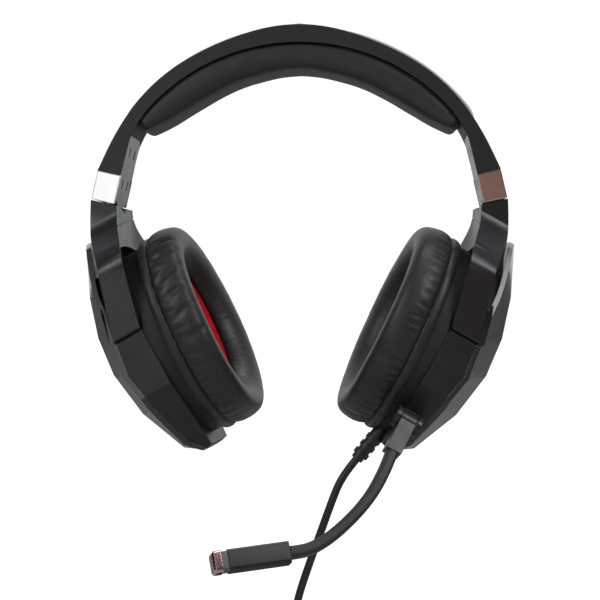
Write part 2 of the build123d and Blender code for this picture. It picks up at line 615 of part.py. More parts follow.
def build_microphone():
    hub = Rot(0, 90, 0) * Cylinder(HUB_RADIUS, HUB_WIDTH)
    pin = Rot(0, 90, 0) * Cylinder(MIC_PIN_RADIUS, HUB_WIDTH + 2 * (CHEEK_PLAY + CHEEK_WALL))
    bore = Rot(0, 90, 0) * Cylinder(MIC_PIN_RADIUS + PIN_PLAY, HUB_WIDTH + 1)

    block = bar((HUB_WIDTH, BLOCK_DEPTH, BLOCK_DROP - BLOCK_TOP), (0, 0, -(BLOCK_DROP + BLOCK_TOP) / 2))
    block = block + hub - bore
    wide = HUB_WIDTH + 2 * (CHEEK_PLAY + CHEEK_WALL)
    cheek = Rot(0, 90, 0) * Cylinder(HUB_RADIUS + 0.6, CHEEK_WALL)
    cheek += bar((CHEEK_WALL, MIC_BASE, 2 * HUB_RADIUS + 1.2), (0, MIC_BASE / 2, 0))
    offset_x = HUB_WIDTH / 2 + CHEEK_PLAY + CHEEK_WALL / 2
    mount = Pos(-offset_x, 0, 0) * cheek + Pos(offset_x, 0, 0) * cheek
    mount += bar((wide, MIC_BASE, 2 * HUB_RADIUS + 1.2), (0, HUB_RADIUS + CHEEK_PLAY + MIC_BASE / 2, 0))
    mount = Pos(*HUB) * (mount - pin)
    baffle_wall = extrude(cup_plane(-40) * (Pos(0, NECK_MIDDLE) * oval(*NECK)), 40 + PARTING)
    outline = extrude(cup_plane(-40) * cup_outline(HOUSING_TOP, HOUSING_HALF_TOP, SHOULDER_TOP), 100)
    mount = mount - (cup_form() & outline & bar((60, 200, 200), (PARTING + 30, 0, 0))) - baffle_wall

    points = [Vector(x, 0, z) for x, z in BOOM_PATH]
    path = FilletPolyline(*points, radius=BOOM_BEND)
    start = Plane(origin=path @ 0, z_dir=path % 0, x_dir=(0, 1, 0))
    section = start * RectangleRounded(BOOM_SECTION[1], BOOM_SECTION[0], BOOM_CORNER)
    boom = sweep(section, path=path)

    end = Vector(BOOM_PATH[-1][0], 0, BOOM_PATH[-1][1])
    along = (end - Vector(BOOM_PATH[-2][0], 0, BOOM_PATH[-2][1])).normalized()
    case = Plane(origin=end, z_dir=along, x_dir=(0, 1, 0)).location
    shell = extrude(RectangleRounded(MIC_SECTION[1], MIC_SECTION[0], CASE_CORNER), MIC_LENGTH)
    room = Pos(0, 0, MIC_FLOOR) * extrude(
        RectangleRounded(MIC_SECTION[1] - 2 * MIC_WALL, MIC_SECTION[0] - 2 * MIC_WALL, 0.8), MIC_LENGTH)
    ring = Pos(0, 0, MIC_LENGTH) * (extrude(RectangleRounded(MIC_SECTION[1] - 1, MIC_SECTION[0] - 1, 1.2), MIC_RING)
                                    - extrude(RectangleRounded(MIC_SECTION[1] - 4, MIC_SECTION[0] - 4, 0.6), MIC_RING))
    cap = Pos(0, 0, MIC_LENGTH + MIC_RING) * extrude(RectangleRounded(MIC_SECTION[1], MIC_SECTION[0], CASE_CORNER), MIC_CAP)
    cap = chamfer(cap.edges().group_by(Axis.Z)[-1], CAP_CHAMFER)
    capsule = Pos(0, 0, MIC_LENGTH - CAPSULE_THICK) * Cylinder(
        CAPSULE_RADIUS, CAPSULE_THICK, align=(Align.CENTER, Align.CENTER, Align.MIN))

    write("mic_mount", CUP * mount)
    write("mic_pin", CUP * Pos(*HUB) * pin)
    write("mic_block", MIC * block)
    write("mic_boom", MIC * boom)
    write("mic_case", MIC * case * (shell - room))
    write("mic_ring", MIC * case * ring)
    write("mic_end_cap", MIC * case * cap)
    write("mic_capsule", MIC * case * capsule)


# ---- cable --------------------------------------------------------------------------------------------------------
def tube_path(points):
    """Straight runs joined by tangent arcs, each arc as large as its two runs allow."""
    spots = [Vector(*p) for p in points]
    radii = []
    for before, at, after in zip(spots, spots[1:], spots[2:]):
        turn = math.radians((at - before).get_angle(after - at))
        shorter = min((at - before).length, (after - at).length)
        radii.append(0.45 * shorter / math.tan(turn / 2))
    print("cable radii", [round(r, 1) for r in radii])
    return FilletPolyline(*spots, radius=radii)


def build_cable():
    path = tube_path(ROUTE)
    start = Plane(origin=path @ 0, z_dir=path % 0)
    tube = sweep(start * Circle(CABLE / 2), path=path)
    area = math.pi * (CABLE / 2) ** 2
    print("cable tube", round(tube.volume, 1), "section times length", round(area * path.length, 1))

    across, through = COIL_LAYERS
    half_across = across * CABLE / 2
    half_through = through * CABLE / 2
    ring = RectangleRounded(2 * half_across, 2 * half_through, COIL_CORNER)
    coil = Pos(*COIL_CENTRE) * Rot(90, 0, 0) * revolve(Plane.XZ * Pos(COIL_MEAN, 0) * ring, Axis.Z)
    turn = math.radians(TIE_ANGLE)
    at = (COIL_CENTRE[0] + COIL_MEAN * math.cos(turn), COIL_CENTRE[1], COIL_CENTRE[2] + COIL_MEAN * math.sin(turn))
    tie = bar((2 * half_across + 2 * TIE_WALL, 2 * half_through + 2 * TIE_WALL, TIE_WIDTH))
    tie = Pos(*at) * Rot(0, -TIE_ANGLE, 0) * tie - coil
    tail_x = COIL_CENTRE[0] + COIL_MEAN + half_across - CABLE / 2
    tail_top = COIL_CENTRE[2] - TAIL_DROP
    tail_end = (tail_x, COIL_CENTRE[1], tail_top - TAIL_LENGTH)
    up = (Align.CENTER, Align.CENTER, Align.MAX)
    tail = Pos(tail_x, COIL_CENTRE[1], tail_top) * Cylinder(CABLE / 2, TAIL_LENGTH, align=up) - coil
    boot = Cone(PLUG_RADII[1] - BOOT_STEP, PLUG_RADII[0], PLUG_LENGTHS[0], align=up)
    grip = Pos(0, 0, -PLUG_LENGTHS[0]) * Cylinder(PLUG_RADII[1], PLUG_LENGTHS[1], align=up)
    plug = Pos(*tail_end) * (boot + grip) - coil
    jack_top = (tail_end[0], tail_end[1], tail_end[2] - sum(PLUG_LENGTHS))
    jack = Cylinder(JACK_RADIUS, JACK_LENGTH - JACK_TIP, align=up)
    jack += Pos(0, 0, -(JACK_LENGTH - JACK_TIP)) * Cone(JACK_POINT, JACK_RADIUS, JACK_TIP, align=up)
    write("cable", tube - coil)
    write("cable_coil", coil)
    write("cable_tie", tie)
    write("cable_tail", tail)
    write("plug_body", plug)
    write("plug_contact", Pos(*jack_top) * jack)


headband()
write("headband_pad", headband_pad())
both_sides("chrome_collar", chrome_collar())
build_yokes()
build_cups()
build_microphone()
build_cable()
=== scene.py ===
import json
import math
import bmesh
import bpy
from mathutils import Matrix, Vector, noise


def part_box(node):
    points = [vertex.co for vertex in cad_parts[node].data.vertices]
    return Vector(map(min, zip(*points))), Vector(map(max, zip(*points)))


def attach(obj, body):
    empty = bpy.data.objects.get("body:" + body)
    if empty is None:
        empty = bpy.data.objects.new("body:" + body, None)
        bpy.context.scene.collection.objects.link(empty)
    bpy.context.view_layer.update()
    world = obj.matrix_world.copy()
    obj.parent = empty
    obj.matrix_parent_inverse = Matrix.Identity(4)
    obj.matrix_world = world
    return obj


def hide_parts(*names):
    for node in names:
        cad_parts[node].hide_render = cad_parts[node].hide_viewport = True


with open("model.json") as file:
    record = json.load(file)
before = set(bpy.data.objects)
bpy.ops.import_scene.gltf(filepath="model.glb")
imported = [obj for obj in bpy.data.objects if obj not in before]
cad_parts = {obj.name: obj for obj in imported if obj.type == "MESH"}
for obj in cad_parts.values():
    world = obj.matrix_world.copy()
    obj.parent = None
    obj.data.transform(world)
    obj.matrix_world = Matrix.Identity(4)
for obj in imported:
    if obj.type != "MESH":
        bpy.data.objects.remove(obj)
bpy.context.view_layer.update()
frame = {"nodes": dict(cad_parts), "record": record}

# Over-ear gaming headset.  Lengths below are in millimetres until MM turns them into metres.
MM = 0.001
nodes = frame["nodes"]
bpy.ops.object.select_all(action="DESELECT")


# ---- camera, light and ground ----
CAMERA_AT = (0.0419, -0.7989, -0.1085)
CAMERA_TURN = 3.0
CAMERA_LENS = 100.0
CAMERA_SENSOR = 36.0
LIT_MIDDLE = (0.0, 0.0, -0.10)
WHITE = (1.0, 1.0, 1.0)
SOFTBOXES = [  # name, place, size, watts and tint
    ("key_softbox", (-0.80, -0.85, 0.60), (0.6, 0.6), 5.0, (1.0, 0.99, 0.97)),
    ("fill_softbox", (0.78, -0.78, 0.66), (0.5, 0.5), 6.5, (0.98, 0.98, 1.0)),
    ("top_softbox", (0.15, 0.15, 1.0), (0.8, 0.5), 6.0, WHITE),
    ("white_card", (-0.36, -1.25, 0.02), (0.42, 0.9), 1.6, WHITE),
    ("warm_card", (0.20, -1.25, 0.02), (0.34, 0.7), 0.16, (1.0, 0.52, 0.42))]
SURROUND_TINT = (0.97, 0.98, 1.0)
SURROUND_TURN = (-0.15, 0.85)    # the surround goes from dim in front to bright behind between these directions in Y
SURROUND_STRENGTH = (0.022, 0.8)
SEEN_STRENGTH = 1.05
GROUND_DROP = 0.062          # the floor lies this far under the hanging plug
GROUND_RADIUS = 30.0
GROUND_TONE = 0.45


def add_camera():
    bpy.ops.object.camera_add(location=CAMERA_AT, rotation=(math.radians(90), 0, math.radians(CAMERA_TURN)))
    camera = bpy.context.object
    camera.data.lens = CAMERA_LENS
    camera.data.sensor_width = CAMERA_SENSOR
    bpy.context.scene.camera = camera


def add_softbox(name, at, size, watts, tint):
    bpy.ops.object.light_add(type="AREA", location=at)
    lamp = bpy.context.object
    lamp.name = name
    lamp.rotation_euler = (Vector(LIT_MIDDLE) - Vector(at)).to_track_quat("-Z", "Y").to_euler()
    lamp.data.shape = "RECTANGLE"
    lamp.data.size, lamp.data.size_y = size
    lamp.data.energy = watts
    lamp.data.color = tint


def pale_where_seen(tree, lit, seen, target):
    """The camera looks at a plain white surround; the headset is lit by a dimmer one, so its blacks stay black."""
    path = put(tree, "LightPath")
    choose = put(tree, "MixShader", [(path.outputs["Is Camera Ray"], "Fac")])
    tree.links.new(lit, choose.inputs[1])
    tree.links.new(seen, choose.inputs[2])
    tree.links.new(choose.outputs["Shader"], target)


def light_the_studio():
    for softbox in SOFTBOXES:
        add_softbox(*softbox)
    world = bpy.data.worlds.new("studio")
    bpy.context.scene.world = world
    world.use_nodes = True
    tree = world.node_tree
    tree.nodes.clear()
    seen = put(tree, "Background", strength=SEEN_STRENGTH)
    seen.inputs["Color"].default_value = (*WHITE, 1.0)
    lit = put(tree, "Background")
    lit.inputs["Color"].default_value = (*SURROUND_TINT, 1.0)
    facing = put(tree, "TexCoord")
    parts = put(tree, "SeparateXYZ", [(facing.outputs["Generated"], "Vector")])
    strength = spread(tree, parts.outputs["Y"], *SURROUND_TURN, *SURROUND_STRENGTH)
    tree.links.new(strength, lit.inputs["Strength"])
    out = put(tree, "OutputWorld")
    pale_where_seen(tree, lit.outputs["Background"], seen.outputs["Background"], out.inputs["Surface"])
    bpy.context.scene.view_settings.view_transform = "Standard"


def lay_the_floor():
    """A pale floor that fades into the pale studio well behind the headset."""
    bpy.ops.mesh.primitive_circle_add(vertices=96, radius=GROUND_RADIUS, fill_type="NGON",
                                      location=(0, 0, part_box("plug_contact")[0].z - GROUND_DROP))
    floor = bpy.context.object
    floor.name = "floor"
    material = bpy.data.materials.new("pale_floor")
    material.use_nodes = True
    tree = material.node_tree
    shader = tree.nodes["Principled BSDF"]
    shader.inputs["Base Color"].default_value = (GROUND_TONE, GROUND_TONE, GROUND_TONE, 1.0)
    shader.inputs["Roughness"].default_value = 0.9
    shader.inputs["Specular IOR Level"].default_value = 0.0
    glow = put(tree, "Emission", strength=1.0)
    both = put(tree, "AddShader")
    tree.links.new(shader.outputs["BSDF"], both.inputs[0])
    tree.links.new(glow.outputs["Emission"], both.inputs[1])
    pale_where_seen(tree, shader.outputs["BSDF"], both.outputs["Shader"],
                    tree.nodes["Material Output"].inputs["Surface"])
    floor.data.materials.append(material)


add_camera()

# ---- the cable ----
CABLE_WIDTH = 3.8
ROUTE = [(27.2, -5.0, -184.2), (20.3, -5.0, -192.4), (15.6, -5.8, -204.0), (11.3, -6.0, -216.0),
         (6.6, -5.6, -229.0), (2.4, -5.0, -241.0), (-1.2, -4.6, -252.5), (-2.6, -4.3, -264.0)]
COIL_CENTRE = (-11.5, -4.0, -292.0)
COIL_MEAN = 20.5
COIL_START = 48.0            # degrees up from the wearer's left, where the cable joins the coil
COIL_TURNS = 15
COIL_STEPS = 16              # points for each turn
COIL_PLACES = [(2, 1), (1, 1), (1, 2), (2, 2), (3, 2), (3, 3), (2, 3), (1, 3),
               (0, 3), (0, 2), (0, 1), (0, 0), (1, 0), (2, 0), (3, 0), (3, 1)]
COIL_STEP_FROM = 0.75        # share of a turn after which it steps over
COIL_LOOSE = 0.25            # how far a turn strays from its place
TAIL = [(14.7, -5.0, -300.0), (14.7, -4.0, -307.0), (14.7, -4.0, -315.5)]


def ease(share):
    share = min(1.0, max(0.0, share))
    return share * share * (3 - 2 * share)


def coil_points():
    """The turns lie in a four by four bundle; each goes round once and steps over to the next place."""
    sweep = 360.0 * COIL_TURNS + COIL_START
    count = int(sweep / 360.0 * COIL_STEPS)
    points = []
    for k in range(1, count + 1):
        share = k / count * (len(COIL_PLACES) - 0.001)
        place = int(share)
        step = ease((share - place - COIL_STEP_FROM) / (1.0 - COIL_STEP_FROM))
        ring, row = COIL_PLACES[place]
        next_ring, next_row = COIL_PLACES[min(place + 1, len(COIL_PLACES) - 1)]
        ring += (next_ring - ring) * step
        row += (next_row - row) * step
        loose = COIL_LOOSE * noise.noise(Vector((k * 0.11, 3.1, 0.0)))
        radius = COIL_MEAN + (ring - 1.5) * CABLE_WIDTH + loose
        angle = math.radians(COIL_START - sweep * k / count)
        points.append((COIL_CENTRE[0] + radius * math.cos(angle),
                       COIL_CENTRE[1] + (row - 1.5) * CABLE_WIDTH,
                       COIL_CENTRE[2] + radius * math.sin(angle)))
    return points


def make_cable():
    data = bpy.data.curves.new("audio_cable", "CURVE")
    data.dimensions = "3D"
    line = data.splines.new("NURBS")
    points = ROUTE + coil_points() + TAIL
    line.points.add(len(points) - 1)
    for point, at in zip(line.points, points):
        point.co = (at[0] * MM, at[1] * MM, at[2] * MM, 1.0)
        point.radius = CABLE_WIDTH / 2 * MM
    line.order_u = 3
    line.use_endpoint_u = True
    line.resolution_u = 4
    data.bevel_depth = 1.0       # times each point's radius
    data.bevel_resolution = 4
    data.use_fill_caps = True
    cable = bpy.data.objects.new("audio_cable", data)
    bpy.context.scene.collection.objects.link(cable)
    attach(cable, "left_cup")
    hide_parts("cable", "cable_coil", "cable_tail")
    return cable


cable = make_cable()


# ---- shared effects ----
def new_group(name, inputs, outputs):
    """An empty shader group with these sockets; inputs are (name, type, start value)."""
    group = bpy.data.node_groups.new(name, "ShaderNodeTree")
    for label, kind, value in inputs:
        socket = group.interface.new_socket(label, in_out="INPUT", socket_type="NodeSocket" + kind)
        if value is not None:
            socket.default_value = value
    for label, kind in outputs:
        group.interface.new_socket(label, in_out="OUTPUT", socket_type="NodeSocket" + kind)
    return group, group.nodes.new("NodeGroupInput"), group.nodes.new("NodeGroupOutput")


def put(tree, kind, links=(), **values):
    """A node of this kind with values set by socket name, or by property name where there is no such socket."""
    node = tree.nodes.new("ShaderNode" + kind)
    for key, value in values.items():
        if hasattr(node, key):
            setattr(node, key, value)
    for key, value in values.items():
        label = key.replace("_", " ").title()
        if not hasattr(node, key):
            node.inputs[label].default_value = value
    for source, target in links:
        tree.links.new(source, node.inputs[target])
    return node


def calc(tree, operation, first, second=None, clamp=False):
    """A Math node; each operand is a socket or a number."""
    node = tree.nodes.new("ShaderNodeMath")
    node.operation = operation
    node.use_clamp = clamp
    for slot, value in enumerate((first, second)):
        if value is None:
            continue
        if isinstance(value, (int, float)):
            node.inputs[slot].default_value = value
        else:
            tree.links.new(value, node.inputs[slot])
    return node.outputs[0]


def spread(tree, value, low, high, to_low=0.0, to_high=1.0):
    """Map a value's range smoothly onto another."""
    node = tree.nodes.new("ShaderNodeMapRange")
    node.interpolation_type = "SMOOTHSTEP"
    tree.links.new(value, node.inputs["Value"])
    for label, number in (("From Min", low), ("From Max", high), ("To Min", to_low), ("To Max", to_high)):
        node.inputs[label].default_value = number
    return node.outputs["Result"]


def blend_colours(tree, share, first, second):
    node = tree.nodes.new("ShaderNodeMix")
    node.data_type = "RGBA"
    for slot, value in ((0, share), (6, first), (7, second)):
        if isinstance(value, (int, float)):
            node.inputs[slot].default_value = value
        elif isinstance(value, tuple):
            node.inputs[slot].default_value = (*value, 1.0)
        else:
            tree.links.new(value, node.inputs[slot])
    return node.outputs[2]


def object_place(tree):
    """The links that lay a texture in the piece's own space."""
    return [(put(tree, "TexCoord").outputs["Object"], "Vector")]


def worn_edges():
    """Softened corners and a mask of the edges that hands rub."""
    group, given, out = new_group("worn_edges", [("Radius", "Float", 0.0005), ("Wear", "Float", 0.3)],
                                  [("Edge", "Float"), ("Normal", "Vector")])
    round_off = put(group, "Bevel", samples=4)
    group.links.new(given.outputs["Radius"], round_off.inputs["Radius"])
    flat = put(group, "NewGeometry")
    turn = put(group, "VectorMath", operation="DOT_PRODUCT")
    group.links.new(round_off.outputs["Normal"], turn.inputs[0])
    group.links.new(flat.outputs["Normal"], turn.inputs[1])
    bend = spread(group, turn.outputs["Value"], 0.995, 0.86)
    at = object_place(group)
    patchy = put(group, "TexNoise", at, scale=260.0, detail=4.0, roughness=0.6)
    patch = spread(group, patchy.outputs["Fac"], 0.42, 0.66, 0.25, 1.0)
    edge = calc(group, "MULTIPLY", calc(group, "MULTIPLY", bend, patch), given.outputs["Wear"])
    group.links.new(edge, out.inputs["Edge"])
    group.links.new(round_off.outputs["Normal"], out.inputs["Normal"])
    return group


def moulded_grain():
    """The fine spark-eroded grain of a moulded part, and slow drifts in its tone."""
    group, given, out = new_group("moulded_grain", [("Size", "Float", 1.0)],
                                  [("Height", "Float"), ("Tone", "Float"), ("Drift", "Float")])
    at = object_place(group)
    fine = put(group, "TexNoise", at, detail=3.0, roughness=0.65)
    group.links.new(calc(group, "DIVIDE", 2600.0, given.outputs["Size"]), fine.inputs["Scale"])
    pits = put(group, "TexVoronoi", at)
    group.links.new(calc(group, "DIVIDE", 1700.0, given.outputs["Size"]), pits.inputs["Scale"])
    height = calc(group, "ADD", calc(group, "MULTIPLY", fine.outputs["Fac"], 0.6),
                  calc(group, "MULTIPLY", pits.outputs["Distance"], 0.4))
    slow = put(group, "TexNoise", at, scale=34.0, detail=5.0, roughness=0.55)
    group.links.new(height, out.inputs["Height"])
    group.links.new(spread(group, fine.outputs["Fac"], 0.3, 0.7), out.inputs["Tone"])
    group.links.new(spread(group, slow.outputs["Fac"], 0.3, 0.7), out.inputs["Drift"])
    return group


def handled_gloss():
    """Where hands have polished or smeared a surface, as a shift in its roughness."""
    group, given, out = new_group("handled_gloss", [("Amount", "Float", 0.1)], [("Shift", "Float")])
    at = object_place(group)
    smear = put(group, "TexNoise", at, scale=55.0, detail=6.0,
                roughness=0.6, distortion=1.6)
    spots = put(group, "TexNoise", at, scale=420.0, detail=2.0)
    both = calc(group, "ADD", calc(group, "MULTIPLY", smear.outputs["Fac"], 1.4),
                calc(group, "MULTIPLY", spots.outputs["Fac"], 0.6))
    shift = calc(group, "MULTIPLY", calc(group, "SUBTRACT", both, 1.0), given.outputs["Amount"])
    group.links.new(shift, out.inputs["Shift"])
    return group


def settled_dust():
    """Fine dust that lies on what faces up, thicker in patches."""
    group, given, out = new_group("settled_dust", [("Amount", "Float", 0.15)], [("Dust", "Float")])
    surface = put(group, "NewGeometry")
    parts = put(group, "SeparateXYZ", [(surface.outputs["Normal"], "Vector")])
    up = spread(group, parts.outputs["Z"], 0.1, 1.0)
    at = object_place(group)
    motes = put(group, "TexNoise", at, scale=1500.0, detail=2.0)
    drift = put(group, "TexNoise", at, scale=70.0, detail=4.0)
    patch = calc(group, "MULTIPLY", spread(group, motes.outputs["Fac"], 0.48, 0.72),
                 spread(group, drift.outputs["Fac"], 0.35, 0.65))
    group.links.new(calc(group, "MULTIPLY", calc(group, "MULTIPLY", up, patch), given.outputs["Amount"]),
                    out.inputs["Dust"])
    return group


def leather_grain():
    """Leatherette: small irregular pebbles with creases between them, and finer pores."""
    group, given, out = new_group("leather_grain", [("Size", "Float", 1.0)],
                                  [("Height", "Float"), ("Crease", "Float")])
    at = object_place(group)
    wobble = put(group, "TexNoise", at, scale=380.0, detail=2.0)
    shifted = put(group, "VectorMath", operation="MULTIPLY_ADD")
    group.links.new(wobble.outputs["Color"], shifted.inputs[0])
    shifted.inputs[1].default_value = (0.0006, 0.0006, 0.0006)
    group.links.new(at[0][0], shifted.inputs[2])
    pebbles = put(group, "TexVoronoi", [(shifted.outputs["Vector"], "Vector")], feature="DISTANCE_TO_EDGE")
    group.links.new(calc(group, "DIVIDE", 1050.0, given.outputs["Size"]), pebbles.inputs["Scale"])
    crease = spread(group, pebbles.outputs["Distance"], 0.0, 0.16, 1.0, 0.0)
    pores = put(group, "TexNoise", at, scale=3200.0, detail=2.0)
    height = calc(group, "SUBTRACT", calc(group, "MULTIPLY", pores.outputs["Fac"], 0.25), crease)
    group.links.new(height, out.inputs["Height"])
    group.links.new(crease, out.inputs["Crease"])
    return group


def cloth_weave():
    """A plain weave of over and under threads on the piece's own UV map."""
    group, given, out = new_group("cloth_weave", [("Threads", "Float", 60.0)],
                                  [("Height", "Float"), ("Gap", "Float"), ("Tone", "Float")])
    at = [(put(group, "TexCoord").outputs["UV"], "Vector")]
    parts = put(group, "SeparateXYZ", at)
    waves = []
    for axis in ("X", "Y"):
        turn = calc(group, "MULTIPLY", calc(group, "MULTIPLY", parts.outputs[axis], given.outputs["Threads"]), math.pi)
        waves.append((calc(group, "SINE", turn), calc(group, "ABSOLUTE", calc(group, "SINE", turn))))
    over = calc(group, "GREATER_THAN", calc(group, "MULTIPLY", waves[0][0], waves[1][0]), 0.0)
    under = calc(group, "SUBTRACT", 1.0, over)
    height = calc(group, "ADD", calc(group, "MULTIPLY", waves[0][1], over),
                  calc(group, "MULTIPLY", waves[1][1], under))
    gap = spread(group, calc(group, "MULTIPLY", waves[0][1], waves[1][1]), 0.05, 0.35, 1.0, 0.0)
    uneven = put(group, "TexNoise", at, scale=24.0, detail=4.0)
    group.links.new(height, out.inputs["Height"])
    group.links.new(gap, out.inputs["Gap"])
    group.links.new(spread(group, uneven.outputs["Fac"], 0.3, 0.7), out.inputs["Tone"])
    return group


EFFECTS = {build.__name__: build() for build in
           (worn_edges, moulded_grain, handled_gloss, settled_dust, leather_grain, cloth_weave)}


def effect(tree, name, **values):
    node = tree.nodes.new("ShaderNodeGroup")
    node.node_tree = EFFECTS[name]
    for key, value in values.items():
        node.inputs[key.title()].default_value = value
    return node.outputs


# ---- materials ----
GREY_DUST = (0.30, 0.29, 0.27)
PALE_DUST = (0.35, 0.34, 0.32)
DARK_DUST = (0.22, 0.21, 0.20)
RUBBED_BLACK = (0.16, 0.16, 0.17)
RUBBED_GREY = (0.28, 0.28, 0.30)
RUBBED_METAL = (0.9, 0.9, 0.92)
MOULD_RELIEF = 0.00006       # depth of each kind of relief, in metres
METAL_RELIEF = 0.00003
LEATHER_RELIEF = 0.00012
CLOTH_RELIEF = 0.0002
COAT_ROUGHNESS = 0.06


def blank(name, **constants):
    """A material with one Principled shader, its constants set on its own sockets."""
    material = bpy.data.materials.new(name)
    material.use_nodes = True
    tree = material.node_tree
    shader = tree.nodes["Principled BSDF"]
    for key, value in constants.items():
        shader.inputs[key.replace("_", " ")].default_value = value
    return material, tree, shader


def wire_up(tree, shader, colour, height, strength, depth, gloss=None, normal=None):
    """Colour, gloss and relief into the shader."""
    tree.links.new(colour, shader.inputs["Base Color"])
    if gloss is not None:
        tree.links.new(gloss, shader.inputs["Roughness"])
    relief = put(tree, "Bump", [(height, "Height")], strength=strength, distance=depth)
    if normal is not None:
        tree.links.new(normal, relief.inputs["Normal"])
    tree.links.new(relief.outputs["Normal"], shader.inputs["Normal"])


def moulded(name, dark, light, rough, grain=1.0, bump=0.12, edge=0.0005, wear=0.3, rub=RUBBED_BLACK,
            handled=0.12, dust=0.10, coat=0.0, **constants):
    """Moulded plastic or rubber: grain, drifting tone, rubbed edges, smears and a little dust."""
    material, tree, shader = blank(name, **constants)
    surface = effect(tree, "moulded_grain", size=grain)
    edges = effect(tree, "worn_edges", radius=edge, wear=wear)
    dusty = effect(tree, "settled_dust", amount=dust)
    colour = blend_colours(tree, surface["Drift"], dark, light)
    colour = blend_colours(tree, calc(tree, "MULTIPLY", surface["Tone"], 0.35), colour, light)
    colour = blend_colours(tree, edges["Edge"], colour, rub)
    colour = blend_colours(tree, dusty["Dust"], colour, GREY_DUST)
    gloss = calc(tree, "ADD", effect(tree, "handled_gloss", amount=handled)["Shift"], rough)
    gloss = calc(tree, "ADD", gloss, calc(tree, "MULTIPLY", dusty["Dust"], 0.6))
    gloss = calc(tree, "SUBTRACT", gloss, calc(tree, "MULTIPLY", edges["Edge"], 0.15), clamp=True)
    wire_up(tree, shader, colour, surface["Height"], bump, MOULD_RELIEF, gloss, edges["Normal"])
    if coat:
        shader.inputs["Coat Weight"].default_value = coat
        shader.inputs["Coat Roughness"].default_value = COAT_ROUGHNESS
    return material


def metal(name, base, shade, rough, handled=0.08, bump=0.04, edge=0.0004, wear=0.25, rub=RUBBED_METAL,
          brushed=(1.0, 1.0, 1.0), dust=0.05):
    """Metal or plating with drawn lines, smears and brighter edges."""
    material, tree, shader = blank(name, Metallic=1.0)
    at = object_place(tree)
    lines = put(tree, "Mapping", at)
    lines.inputs["Scale"].default_value = brushed
    drawn = put(tree, "TexNoise", [(lines.outputs["Vector"], "Vector")], scale=900.0, detail=3.0)
    slow = put(tree, "TexNoise", at, scale=60.0, detail=4.0, distortion=0.8)
    edges = effect(tree, "worn_edges", radius=edge, wear=wear)
    dusty = effect(tree, "settled_dust", amount=dust)
    colour = blend_colours(tree, spread(tree, slow.outputs["Fac"], 0.3, 0.7), base, shade)
    colour = blend_colours(tree, edges["Edge"], colour, rub)
    colour = blend_colours(tree, dusty["Dust"], colour, PALE_DUST)
    gloss = calc(tree, "ADD", effect(tree, "handled_gloss", amount=handled)["Shift"], rough)
    gloss = calc(tree, "ADD", gloss, calc(tree, "MULTIPLY", drawn.outputs["Fac"], 0.05), clamp=True)
    wire_up(tree, shader, colour, drawn.outputs["Fac"], bump, METAL_RELIEF, gloss, edges["Normal"])
    return material


def leatherette(name, dark, light, rough, size=1.0, bump=0.3):
    """Protein leather: pebbled grain, polished crowns, duller creases."""
    material, tree, shader = blank(name, Specular_IOR_Level=0.55, Sheen_Weight=0.12, Sheen_Roughness=0.45,
                                   Coat_Weight=0.10, Coat_Roughness=0.32)
    grain = effect(tree, "leather_grain", size=size)
    tone = effect(tree, "moulded_grain", size=2.0)
    dusty = effect(tree, "settled_dust", amount=0.10)
    colour = blend_colours(tree, tone["Drift"], dark, light)
    colour = blend_colours(tree, calc(tree, "MULTIPLY", grain["Crease"], 0.6), colour, (0.006, 0.006, 0.006))
    colour = blend_colours(tree, dusty["Dust"], colour, DARK_DUST)
    gloss = calc(tree, "ADD", effect(tree, "handled_gloss", amount=0.16)["Shift"], rough)
    gloss = calc(tree, "ADD", gloss, calc(tree, "MULTIPLY", grain["Crease"], 0.15), clamp=True)
    wire_up(tree, shader, colour, grain["Height"], bump, LEATHER_RELIEF, gloss)
    return material


CLOTH_THREADS = 110.0


def red_speaker_cloth():
    """Woven red cloth, almost without gloss, darker between its threads."""
    material, tree, shader = blank("red_speaker_cloth", Roughness=0.9, Specular_IOR_Level=0.08, Sheen_Weight=0.04,
                                   Sheen_Roughness=0.5, Sheen_Tint=(1.0, 0.25, 0.22, 1.0))
    weave = effect(tree, "cloth_weave", threads=CLOTH_THREADS)
    colour = blend_colours(tree, weave["Tone"], (0.62, 0.008, 0.014), (0.85, 0.016, 0.026))
    colour = blend_colours(tree, weave["Gap"], colour, (0.12, 0.004, 0.005))
    wire_up(tree, shader, colour, weave["Height"], 0.6, CLOTH_RELIEF)
    return material


JACK_RINGS = (3.2, 6.2, 9.0)     # how far the black rings lie below the contact's top
JACK_RING_HALF = 0.35


def jack_plating():
    """The contact's plating with its black insulating rings."""
    material, tree, shader = blank("jack_plating", Roughness=0.18)
    at = object_place(tree)
    parts = put(tree, "SeparateXYZ", at)
    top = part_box("plug_contact")[1].z
    rings = None
    for drop in JACK_RINGS:
        off = calc(tree, "ABSOLUTE", calc(tree, "SUBTRACT", parts.outputs["Z"], top - drop * MM))
        ring = calc(tree, "LESS_THAN", off, JACK_RING_HALF * MM)
        rings = ring if rings is None else calc(tree, "MAXIMUM", rings, ring)
    slow = put(tree, "TexNoise", at, scale=300.0, detail=3.0)
    plating = blend_colours(tree, slow.outputs["Fac"], (0.72, 0.52, 0.22), (0.85, 0.66, 0.33))
    tree.links.new(blend_colours(tree, rings, plating, (0.01, 0.01, 0.01)), shader.inputs["Base Color"])
    tree.links.new(calc(tree, "SUBTRACT", 1.0, rings), shader.inputs["Metallic"])
    return material


